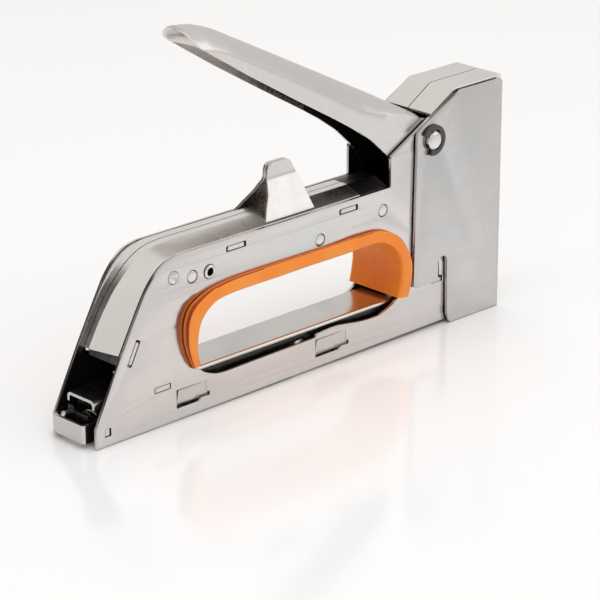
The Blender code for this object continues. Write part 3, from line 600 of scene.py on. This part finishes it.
spine_points = [(-67.8, 22.8), (-64.0, 29.7), (-60.4, 36.1), (-58.0, 39.8), (-55.2, 43.0), (-51.6, 45.4), (-47.0, 46.5), (-41.0, 46.7), (-30.0, 46.7), (0.0, 46.7), (33.2, 46.8)]
spine_ups = [(5.6, 2.0), (5.5, 2.1), (4.9, 2.3), (4.1, 2.4), (3.4, 2.5), (2.8, 2.6), (2.4, 2.6), (2.3, 2.6), (2.2, 2.6), (2.2, 2.6), (2.2, 2.6)]
fine = smooth_run([(*a, *b) for a, b in zip(spine_points, spine_ups)], 6)
fine_path = np.array([q[:2] for q in fine])


def inner_side(path):
    """Tests whether a face looks back towards the path's inner side."""
    along = np.gradient(path, axis=0)
    out = np.stack([-along[:, 1], along[:, 0]], 1) / np.linalg.norm(along, axis=1)[:, None]

    def test(c, n):
        k = int(np.argmin((path[:, 0] - c.x) ** 2 + (path[:, 1] - c.z) ** 2))
        return out[k][0] * n.x + out[k][1] * n.z < -0.3 or n.y * c.y < -0.8

    return test


head_fine = bend([(49.6, 64.2), (58.4, 69.6), (78.6, 69.8)], [1.6], 6)
for side, label in ((-1, "right"), (1, "left")):
    # painted shade: the spine shell's inner faces and its whole run forward of x = 24.5 take near-black steel; its rear
    # end faces take the shaded edge
    finish_mesh(f"spine_{label}_shell", shell_half([q[:2] for q in fine], [q[2:] for q in fine], side, 1.2, rake=0.8), SPINE, "body", "plated_steel", [f"spine_{label}"], 40, (PAINTED_SHADE, inner_side(fine_path)), (PAINTED_SHADE, lambda c, n: c.x > 24.5), (SHADE, lambda c, n: c.x < -62 and 0.483 * n.x + 0.876 * n.z < -0.75))
    # painted shade: the head shell's inner faces take near-black steel
    finish_mesh(f"head_{label}_shell", shell_half(head_fine, [(1.1, 6.7)] * len(head_fine), side, 0.9, wide=8.85), SPINE, "body", "plated_steel", [f"head_shell_{label}"], 40, (PAINTED_SHADE, lambda c, n: n.y * c.y < -0.7))

# ================================================================ front cover
FRONT_X = 78.6
cover_outline = rounded(
    [(57.0, 0.0), (77.4, 0.0), (77.4, 70.15), (60.3, 70.1), (42.6, 60.9), (41.7, 14.2), (51.9, 14.2), (52.0, 21.4), (55.5, 21.4), (56.0, 3.0)],
    [1.2, 0.0, 0.0, 1.2, 1.0, 1.4, 0.25, 1.4, 1.4, 2.2], 6)
flanks = [flat([cover_outline, ring(PIVOT, PIN_R + 0.25)], *sorted((s * COVER_IN, s * COVER_OUT)), 0.13, 2) for s in (-1, 1)]


def cover_front(z_low, z_high):
    """The cover's front web with its two bends, swept up."""
    run = [(77.3, -COVER_OUT)] + [(FRONT_X - 1.3 + 1.3 * math.sin(a), -COVER_OUT + 1.3 - 1.3 * math.cos(a)) for a in np.linspace(0, math.pi / 2, 9)]
    run += [(x, -y) for x, y in run[::-1]]
    inner = [(77.3, -COVER_IN)] + [(FRONT_X - 1.3 + 0.3 * math.sin(a), -COVER_OUT + 1.3 - 0.3 * math.cos(a)) for a in np.linspace(0, math.pi / 2, 9)]
    inner += [(x, -y) for x, y in inner[::-1]]
    return loft([[(x, y, z) for x, y in run + inner[::-1]] for z in (z_low, z_low + 0.01, z_high - 0.01, z_high)])


# painted shade: the cover's inner faces and the inside of its front web take near-black steel
finish_mesh("front_cover_sheet", joined(*flanks, cover_front(0.0, 69.25)), COVER, "body", "plated_steel", ["front_cover"], 32.0, (PAINTED_SHADE, lambda c, n: (abs(c.y) < COVER_IN + 0.05 and n.y * c.y < 0 and abs(n.y) > 0.7) or (n.x < -0.7 and c.x > 77.2)))

# ================================================================ grip
outer_run, inner_run = np.array(grip_outer), np.array(grip_inner)
sections = []
count = len(inner_run)
web = np.array(offset_run(grip_inner, 2.0))
for i in range(count):
    share = i / (count - 1)
    gi, go, wi = inner_run[i], outer_run[i], web[i]
    span = float(np.linalg.norm(go - gi))
    aim = (go - gi) / span
    # a bead stands off the plate, undercut along its outer rim, over a thin lip that slopes down to the plate
    rise = read(GRIP_RISE, share)
    crest = PLATE_OUT + rise - (0.7, 0.28, 0.08)[i] * (i < 3) if i < 3 else PLATE_OUT + rise
    back = 0.02
    face = [(0.0, 9.30), (0.0, crest - 1.0), (0.10, crest - 0.62), (0.34, crest - 0.26), (0.75, crest - 0.06), (1.2, crest), (span * 0.5, crest), (span - 0.7, crest - 0.01), (span - 0.35, crest - 0.08), (span - 0.12, crest - 0.25), (span - 0.06, crest - 0.42), (span - 0.06 - back, crest - 0.55), (span - back, crest - 0.8 * (crest - 9.6)), (span - 0.06, 9.6), (span + 0.02, 9.42), (span + 0.02, 9.27)]
    near = [(*(gi + aim * d), -y) for d, y in face]
    far = [(p[0], p[1], -p[2]) for p in near[::-1]]
    loop = [(p[0], p[2], p[1]) for p in near]
    under_near = [(*(wi + (gi + aim * span - wi) * 0.35), -COVER_IN), (*wi, -COVER_IN + 0.35)]
    loop += [(p[0], p[2], p[1]) for p in under_near]
    loop += [(p[0], -p[2], p[1]) for p in under_near[::-1]]
    loop += [(p[0], p[2], p[1]) for p in far]
    sections.append(loop)
rim_run = np.concatenate([outer_run[:-1] * (1 - t) + outer_run[1:] * t for t in (0.0, 0.25, 0.5, 0.75)])


def in_groove(c, n):
    """True on the undercut wall along the bead's outer rim: the faces that take the painted shade."""
    return bool(((rim_run[:, 0] - c.x) ** 2 + (rim_run[:, 1] - c.z) ** 2).min() < 0.5 and abs(c.y) > 9.3 and abs(n.y) < 0.62 and sections_wall(c))


def sections_wall(c):
    """True under the bead's rounded edge."""
    k = int(np.argmin((outer_run[:, 0] - c.x) ** 2 + (outer_run[:, 1] - c.z) ** 2))
    return abs(c.y) < PLATE_OUT + read(GRIP_RISE, k / (count - 1)) - 0.14


# painted shade: the undercut wall along the bead's rim takes the darkened orange
finish_mesh("grip_insert", loft_ngon(sections), ORANGE, "body", "orange_plastic", ["grip"], 50, (GROOVE_SHADE, in_groove))

# ================================================================ tabs, rivets, pins, clips
for name, (centre, angle, length) in TAB_SLOTS.items():
    body, tab = (length + 3.0) / 2, length / 2
    deep, far = SHELL_OUT - 0.95, PLATE_OUT - 0.05
    outline = [(-body, -deep), (-tab, -deep), (-tab, -far), (tab, -far), (tab, -deep), (body, -deep), (body, deep), (tab, deep), (tab, far), (-tab, far), (-tab, deep), (-body, deep)]
    bm = bmesh.new()
    half = TAB_THICK / 2
    rows = [[bm.verts.new(Vector((u, y, n)) * MM) for u, y in outline] for n in (-half, half)]
    for row in rows:
        bm.faces.new(row)
    for i in range(12):
        j = (i + 1) % 12
        bm.faces.new((rows[0][i], rows[0][j], rows[1][j], rows[1][i]))
    bmesh.ops.bevel(bm, geom=bm.edges[:], offset=0.18 * MM, segments=2, affect="EDGES")
    bm.transform(Matrix.Translation(Vector((centre[0], 0, centre[1])) * MM) @ Matrix.Rotation(-angle, 4, "Y"))
    finish_mesh(name + "_bar", bm, INNER, "body", "inner_steel", [name])

for name, (x, z) in RIVETS.items():
    if name == "spine_rivet":
        head = [(1.15, 0), (0.8, 0.45), (0.16, 1.3), (0.0, 1.5), (0.02, RIVET_R - 0.12), (0.14, RIVET_R)]
    else:
        head = [(0.02, 0), (0.03, RIVET_R - 0.75), (0.09, RIVET_R - 0.42), (0.22, RIVET_R - 0.14), (0.45, RIVET_R)]
    long = 2 * PLATE_OUT
    profile = head + [(long - h, r) for h, r in head[::-1]]
    finish_mesh(name + "_turned", turned(profile, (x, -PLATE_OUT, z), (0, 1, 0)), PIN, "body", "pin_steel", [name])
rim = [(0.6, 1.08), (0.2, 1.12), (0.04, 1.25), (0.0, 1.45), (0.07, 1.75), (0.22, 1.95), (0.4, 1.97), (0.42, 1.7)]
long = 18.7
profile = rim + [(long - h, r) for h, r in rim[::-1]]
# painted shade: the rivet's bore takes near-black steel
finish_mesh("hollow_rivet_turned", tube_ring(profile, (HOLLOW_RIVET[0], -9.35, HOLLOW_RIVET[1]), (0, 1, 0)), PIN, "body", "pin_steel", ["hollow_rivet"], 32.0, (PAINTED_SHADE, lambda c, n: abs(c.y) < 9.2 and (c.x - HOLLOW_RIVET[0]) ** 2 + (c.z - HOLLOW_RIVET[1]) ** 2 < 1.45))

half = [(0.0, 0.0), (0.0, 1.5), (0.06, 1.9), (0.22, 2.25), (0.5, 2.5), (0.6, PIN_R), (0.62, 1.9), (1.5, 1.9), (1.52, PIN_R)]
profile = half + [(2 * PIN_HALF - h, r) for h, r in half[::-1]]
finish_mesh("lever_pin_turned", turned(profile, (PIVOT[0], -PIN_HALF, PIVOT[1]), (0, 1, 0)), PIN, "body", "pin_steel", ["lever_pin"])


def clip_outline():
    open_half, aim = math.radians(50), math.radians(203)
    outer = [(PIVOT[0] + 4.5 * math.cos(a), PIVOT[1] + 4.5 * math.sin(a)) for a in np.linspace(aim + open_half, aim + 2 * math.pi - open_half, 73)]
    inner = []
    for a in np.linspace(aim + 2 * math.pi - open_half, aim + open_half, 145):
        off = (a - aim - math.pi) % (2 * math.pi)
        off = math.degrees(min(off, 2 * math.pi - off))
        lug = max(1 / (1 + math.exp((off - 15) / 1.2)), 1 / (1 + math.exp((106 - off) / 1.2)))
        r = 3.15 - 1.0 * lug
        inner.append((PIVOT[0] + r * math.cos(a), PIVOT[1] + r * math.sin(a)))
    return outer + inner


for side, label in ((-1, "right"), (1, "left")):
    finish_mesh(f"e_clip_{label}_ring", flat([clip_outline()], *sorted((side * 10.55, side * 11.35)), 0.1, 2), BLACK, "body", "blackened_steel", [f"e_clip_{label}"])

# ================================================================ magazine
H, T, I = CHANNEL_HALF, CHANNEL_TOP, CHANNEL_IN


def hat(half, top, foot, r, sides=7):
    """A run over a rounded top: up one leg, across, down the other, as (y, z)."""
    left = [(-half + r - r * math.cos(a), top - r + r * math.sin(a)) for a in np.linspace(0, math.pi / 2, sides)]
    return [(-half, foot)] + left + [(-y, z) for y, z in left[::-1]] + [(half, foot)]


channel = []
for x, half, top in ((-74.4, 5.45, 11.9), (-74.3, 5.5, 11.95), (-71.5, 6.0, 12.0), (-68.0, H, T), (-48.0, H, T), (73.9, H, T), (74.0, H, T)):
    turn = 1.3 if x < -72.0 else 0.9
    outer, inner = hat(half, top, 9.4, turn), hat(half - 0.8, top - 0.8, 9.4, turn - 0.6)
    channel.append([(x, y, z) for y, z in outer + inner[::-1]])
channel = loft(channel)
ears = []
for s in (-1, 1):
    ear = block((CHANNEL_EAR[0][0] - 2.6, min(s * 6.3, s * (PLATE_OUT - 0.06)), CHANNEL_EAR[0][1] - 0.7), (CHANNEL_EAR[0][0] + 2.6, max(s * 6.3, s * (PLATE_OUT - 0.06)), CHANNEL_EAR[0][1] + 0.7), 0.18)
    ears.append(ear)
# painted shade: the channel's underside, inner faces, side walls below z = 10.4 and top at the rear end take near-black
# steel
finish_mesh("magazine_channel_sheet", joined(channel, *ears), INNER, "body", "inner_steel", ["magazine_channel"], 25, (PAINTED_SHADE, lambda c, n: abs(c.y) < 7.0 and (n.z < -0.3 or (c.z < 10.4 and abs(c.y) > 6.0) or n.y * c.y < -0.3 or (c.x < -60.0 and n.z > 0.5))))

RH = 4.3
outer, inner = hat(RH, 9.2, 1.8, 0.9), hat(RH - 0.8, 8.4, 1.8, 0.3)
# painted shade: the rail's rear end face, underside and inner faces take near-black steel
finish_mesh("staple_rail_sheet", loft([[(x, y, z) for y, z in outer + inner[::-1]] for x in (-72.0, -71.98, 72.48, 72.5)]), INNER, "magazine", "inner_steel", ["staple_rail"], 25, (PAINTED_SHADE, lambda c, n: n.x < -0.5 or n.z < -0.3 or n.y * c.y < 0))
outer, inner = hat(5.3, 10.7, 0.9, 0.7), hat(RH + GAP, 9.5, 0.9, 0.3)
tongue = block((68.6, -3.1, 1.4), (69.6, 3.1, 9.9), 0.2)
finish_mesh("pusher_sheet", joined(loft([[(x, y, z) for y, z in outer + inner[::-1]] for x in (62.0, 62.02, 70.98, 71.0)]), tongue), HARD, "pusher", "inner_steel", ["pusher"], 25)

# end cap: a plate with two returned sides, swept up, with a tall seat for the rod
def cap_ring(far, depth=0.0):
    """The cap's three walls in X and Y at one height, its far side at Y = far."""
    r = 0.7
    near = [(-63.9, -5.9 + depth)] + [(-78.6 + depth + r - r * math.sin(a), -5.9 + depth + r - r * math.cos(a)) for a in np.linspace(0, math.pi / 2, 6)]
    r = 1.0
    return near + [(-78.6 + depth + r - r * math.cos(a), far - depth - r + r * math.sin(a)) for a in np.linspace(0, math.pi / 2, 6)] + [(-63.9, far - depth)]


cap_rows = []
for z in (1.0, 1.1, 1.3, 1.6, 2.0, 2.5, 3.2, 4.5, 6.2, 6.3):
    far = 7.4 - (2.2 - math.sqrt(2.2**2 - (3.2 - z) ** 2) if z < 3.2 else 0.0)
    lip = 0.08 if z in (1.0, 6.3) else 0.0
    outer, inner = cap_ring(far - lip, lip), cap_ring(far, 0.85)
    cap_rows.append([(x, y, z) for x, y in outer + inner[::-1]])
seat = flat([rounded([(-75.6, 1.2), (-74.7, 1.2), (-74.7, 7.7), (-75.6, 7.7)], 0.2, 3)], -4.0, 4.0, 0.12)
ear = block((-75.5, 1.9, 5.8), (-74.8, 4.1, 9.0), 0.2)
# painted shade: the cap's inner walls, its rod seat and its near wall take near-black steel
finish_mesh("magazine_cap_sheet", joined(loft(cap_rows), seat, ear), PLATE, "magazine", "inner_steel", ["magazine_end_cap"], 35, (PAINTED_SHADE, lambda c, n: (-77.9 < c.x and n.x > -0.3 and -5.3 < c.y < 6.8) or -76.0 < c.x < -74.5 or (c.y < -5.8 and c.x > -77.0)))
finish_mesh("magazine_catch_turned", turned([(0, 0), (0.0, 0.35), (0.12, 0.6), (0.35, 0.73), (0.6, 0.75), (1.2, 0.75), (1.35, 0.72), (1.5, 0.7), (4.5, 0.7), (4.6, 0.6), (4.6, 0)], (-78.4, 3.0, 7.1), (1, 0, 0), 32), INNER, "catch", "inner_steel", ["magazine_catch"])
finish_mesh("spring_rod_turned", turned([(0, 0), (0, 0.8), (0.3, 1.0), (145.1, 1.0), (145.4, 0.8), (145.4, 0)], (-73.6, 0, 5.0), (1, 0, 0), 24), HARD, "magazine", "hardened_steel", ["spring_rod"])
spring = finish_mesh("pusher_spring_coil", coil((-73.2, 0, 5.0), (1, 0, 0), 2.15, 0.7, 141.2, 30, 20, 8), WIRE, "magazine", "spring_steel", ["pusher_spring"])
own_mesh(spring)

# ================================================================ driving parts
spring = finish_mesh("main_spring_coil", coil((63.4, 0, 23.3), (0, 0, 1), 4.6, 1.9, 42.4, 8.5, 30, 12), WIRE, "body", "spring_steel", ["main_spring"])
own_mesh(spring)

# ================================================================ lever
crown = [(-38.6, 105.7), (-36.5, 105.55), (-33.0, 105.1), (-29.6, 104.0), (-26.0, 102.6), (2.4, 88.2), (30.9, 73.7), (41.0, 68.3), (47.2, 65.0)]
under = [(-38.6, 104.9), (-38.0, 102.9), (-36.8, 101.0), (-34.3, 99.3), (-19.9, 90.2), (-1.1, 79.0), (13.5, 70.5), (20.0, 66.5), (26.4, 62.0), (33.4, 55.6), (38.7, 48.3), (47.2, 47.9)]
arch = [(-38.6, 5.4), (-30.0, 5.6), (-5.9, 5.8), (10.0, 6.6), (23.0, 7.2), (31.6, 5.2), (41.0, 1.9), (47.2, 1.5)]


def smooth_table(table, x, width=2.2):
    xs = np.linspace(x - width, x + width, 9)
    weights = 1 - np.abs(np.linspace(-1, 1, 9)) * 0.9
    lo, hi = table[0][0], table[-1][0]
    room = min(1.0, (x - lo) / width, (hi - x) / width) if lo < x < hi else 0.0
    xs = x + (xs - x) * max(0.0, room)
    return float(sum(w * read(table, q) for w, q in zip(weights, xs)) / weights.sum())


def arch_at(t):
    k = 0.86
    return (math.sqrt(1 - k * t * t) - math.sqrt(1 - k)) / (1 - math.sqrt(1 - k))


def lever_section(x, wide, drop, count=21):
    """Half run from the foot of the near wall, over the arch, to the far foot, as (y, z)."""
    top, low, tall = smooth_table(crown, x, 1.5) - drop, smooth_table(under, x, 0.9), smooth_table(arch, x) - drop * 0.5
    spring = top - tall
    reach = 1.0
    if low > spring:
        lo, hi = 0.0, 1.0
        for _ in range(30):
            mid = (lo + hi) / 2
            if spring + tall * arch_at(mid) > low:
                lo = mid
            else:
                hi = mid
        reach = max(lo, 0.12)
    wall = [(-wide * reach, spring + tall * arch_at(reach) - max(0.0, spring + tall * arch_at(reach) - low) * (1 - k / 5)) for k in range(5)]
    turn = [math.sin(q) for q in np.linspace(-math.pi / 2, math.pi / 2, count)]
    run = [(wide * reach * s, spring + tall * arch_at(abs(s) * reach)) for s in turn]
    half_run = wall + run
    return half_run + [(-y, z) for y, z in wall[::-1]]


stations = list(np.linspace(-38.55, -33.0, 24)) + list(np.linspace(-32.4, 47.0, 90))
sections = []
for x in stations:
    o, i = lever_section(x, LEVER_HALF, 0.0), lever_section(x, LEVER_HALF - 1.0, 1.0)
    sections.append([(x, y, z) for y, z in o] + [(x, y, z) for y, z in i[::-1]])
lever_skin = loft(sections)
arm_angle = math.atan2(ARM_TIP[1] - PIVOT[1], ARM_TIP[0] - PIVOT[0])
tip = [(ARM_TIP[0] + ARM_TIP_R * math.cos(a), ARM_TIP[1] + ARM_TIP_R * math.sin(a)) for a in np.linspace(arm_angle - math.pi / 2, arm_angle + math.pi / 2, 17)]
arm = [(41.0, 48.6), (50.0, 50.4)] + tip + [(54.5, 59.0), (52.6, 61.8), (49.6, 63.6), (46.6, 64.0), (41.0, 62.0)]
arms = [flat([arm, ring(PIVOT, PIN_R + GAP)], *sorted((s * (LEVER_HALF - 0.98), s * (LEVER_HALF - 0.02))), 0.12) for s in (-1, 1)]
def lever_inner(c, n):
    """True on the faces inside the lever's hollow."""
    if c.x < -33.5:
        return False
    if abs(c.y) < LEVER_HALF - 0.8 and c.x < 46.9:
        return n.y * c.y < -0.15 * abs(c.y) or (n.z < -0.25 and abs(c.y) < LEVER_HALF - 1.1)
    return abs(c.y) < LEVER_HALF - 0.9 and n.y * c.y < 0


# painted shade: the lever's inner faces take a half-shade plate forward of x = -4 and near-black steel forward of x =
# 14
finish_mesh("lever_sheet", joined(lever_skin, *arms), LEVER, "lever", "plated_steel", ["lever"], 24, (HALF_SHADE, lambda c, n: c.x > -4.0 and lever_inner(c, n)), (PAINTED_SHADE, lambda c, n: c.x > 14.0 and lever_inner(c, n)))

# ================================================================ latch
latch_rows = [(61.0, -5.6, 0.3, 1.05), (60.75, -6.2, 0.9, 1.05), (60.2, -6.8, 1.6, 1.05), (59.4, -7.1, 2.2, 1.05), (57.6, -7.3, 3.1, 1.05), (56.9, -7.4, 3.6, 1.08), (56.3, -7.6, 3.9, 1.3), (55.4, -8.0, 4.1, 1.9), (53.0, -9.0, 4.4, 3.3), (50.0, -11.4, 4.8, 5.1), (47.8, -12.9, 5.1, 6.45), (47.0, -13.2, 5.2, 6.85), (46.2, -13.3, 5.3, 7.05), (45.0, -12.7, 5.8, 7.1), (43.6, -11.5, 6.4, 7.1), (40.0, -3.0, 8.0, 7.1), (37.0, 2.6, 8.2, 7.1), (35.2, 4.2, 7.0, 7.1)]
halves = []
for side in (-1, 1):
    rows = []
    for z, rear, front, half in latch_rows:
        inside = half - min(1.0, half - 0.03)
        e = 0.16
        rows.append([(rear + e, side * half, z), (front - e, side * half, z), (front, side * (half - e), z), (front, side * (inside + e), z), (front - e, side * inside, z), (rear + e, side * inside, z), (rear, side * (inside + e), z), (rear, side * (half - e), z)])
    halves.append(loft_ngon(rows))
# painted shade: the latch's inner faces take the half-shade plate
finish_mesh("latch_sheet", joined(*halves), LEVER, "latch", "plated_steel", ["latch"], 30, (HALF_SHADE, lambda c, n: n.y * c.y < -0.5))

# ================================================================ carried-over pieces
# the black on the nose guide and absorber bracket is painted shade, for parts seen only through slots and from below
looks = {"nose_guide": BLACK, "absorber_bracket": BLACK, "spring_seat": INNER, "hammer": HARD, "driver_blade": HARD, "shock_absorber": RUBBER}
for name, look in looks.items():
    nodes[name].data.materials.clear()
    nodes[name].data.materials.append(look)

# ================================================================ studio
bm = bmesh.new()
for x, y in ((-3, -3), (3, -3), (3, 3), (-3, 3)):
    bm.verts.new((x, y, -0.0002))
bm.faces.new(bm.verts[:])
floor_mesh = bpy.data.meshes.new("floor")
bm.to_mesh(floor_mesh)
bm.free()
floor = bpy.data.objects.new("floor", floor_mesh)
scene.collection.objects.link(floor)
n = Nodes("pale_floor")
n.link(n.ramp(n.noise(3.0, 3.0, 0.5), [(0.3, (0.955, 0.955, 0.955)), (0.7, (0.97, 0.97, 0.97))]), n.shader.inputs["Base Color"])
n.link(n.spread(n.noise(40.0, 2.0, 0.5), 0.3, 0.7, 0.10, 0.14), n.shader.inputs["Roughness"])
floor_mesh.materials.append(n.mat)

world = bpy.data.worlds.new("studio")
scene.world = world
world.use_nodes = True
tree = world.node_tree
background = tree.nodes["Background"]
coord = tree.nodes.new("ShaderNodeTexCoord")
split = tree.nodes.new("ShaderNodeSeparateXYZ")
tree.links.new(coord.outputs["Generated"], split.inputs[0])
ramp = tree.nodes.new("ShaderNodeValToRGB")
for at, value in ((0.0, 0.80), (0.52, 0.84), (0.62, 0.88), (0.80, 0.95)):
    if at in (0.0,):
        element = ramp.color_ramp.elements[0]
    elif at == 0.52:
        element = ramp.color_ramp.elements[1]
    else:
        element = ramp.color_ramp.elements.new(at)
    element.position = at
    element.color = (value, value * 0.985, value * 0.97, 1)
half = tree.nodes.new("ShaderNodeMath")
half.operation = "MULTIPLY_ADD"
half.inputs[1].default_value = 0.5
half.inputs[2].default_value = 0.5
tree.links.new(split.outputs["Z"], half.inputs[0])
tree.links.new(half.outputs[0], ramp.inputs[0])
# a dark flag behind the object, seen in the rear slope's ridge
aim = tree.nodes.new("ShaderNodeVectorMath")
aim.operation = "DOT_PRODUCT"
aim.inputs[1].default_value = Vector((-0.66, 0.68, 0.31)).normalized()
tree.links.new(coord.outputs["Generated"], aim.inputs[0])
flag = tree.nodes.new("ShaderNodeMapRange")
for key, value in (("From Min", 0.84), ("From Max", 0.90), ("To Min", 1.0), ("To Max", 0.03)):
    flag.inputs[key].default_value = value
tree.links.new(aim.outputs["Value"], flag.inputs["Value"])
shade = tree.nodes.new("ShaderNodeMix")
shade.data_type = "RGBA"
shade.blend_type = "MULTIPLY"
shade.inputs[0].default_value = 1.0
tree.links.new(ramp.outputs[0], shade.inputs[6])
grey = tree.nodes.new("ShaderNodeCombineColor")
for socket in grey.inputs[:3]:
    tree.links.new(flag.outputs[0], socket)
tree.links.new(grey.outputs[0], shade.inputs[7])
tree.links.new(shade.outputs[2], background.inputs["Color"])
background.inputs["Strength"].default_value = 0.88


def softbox(name, at, target, width, height, power):
    data = bpy.data.lights.new(name, "AREA")
    data.shape = "RECTANGLE"
    data.size, data.size_y = width, height
    data.energy = power
    light = bpy.data.objects.new(name, data)
    scene.collection.objects.link(light)
    light.location = at
    light.visible_glossy = power < 2.0
    light.rotation_euler = (Vector(target) - Vector(at)).to_track_quat("-Z", "Y").to_euler()
    return light


softbox("top_box", (0.1, -0.1, 1.1), (0, 0, 0), 0.9, 0.7, 3.7)
softbox("left_box", (-0.9, 0.35, 0.55), (0, 0, 0.05), 0.5, 0.6, 0.8)
softbox("right_box", (0.75, -0.75, 0.6), (0, 0, 0.03), 0.6, 0.6, 0.8)

az, el, roll = math.radians(-44.03), math.radians(20.82), math.radians(-0.115)
back = Vector((math.sin(az) * math.cos(el), -math.cos(az) * math.cos(el), math.sin(el)))
right = Vector((math.cos(az), math.sin(az), 0))
up = back.cross(right)
right, up = math.cos(roll) * right + math.sin(roll) * up, math.cos(roll) * up - math.sin(roll) * right
camera_data = bpy.data.cameras.new("camera")
camera_data.lens = 2755 * 36 / 600
camera_data.sensor_width = 36
camera_data.clip_start = 0.01
camera = bpy.data.objects.new("camera", camera_data)
scene.collection.objects.link(camera)
turn = Matrix((right, up, back)).transposed().to_4x4()
camera.matrix_world = Matrix.Translation((-0.49777, -0.52117, 0.29336)) @ turn
scene.camera = camera
scene.view_settings.view_transform = "Standard"
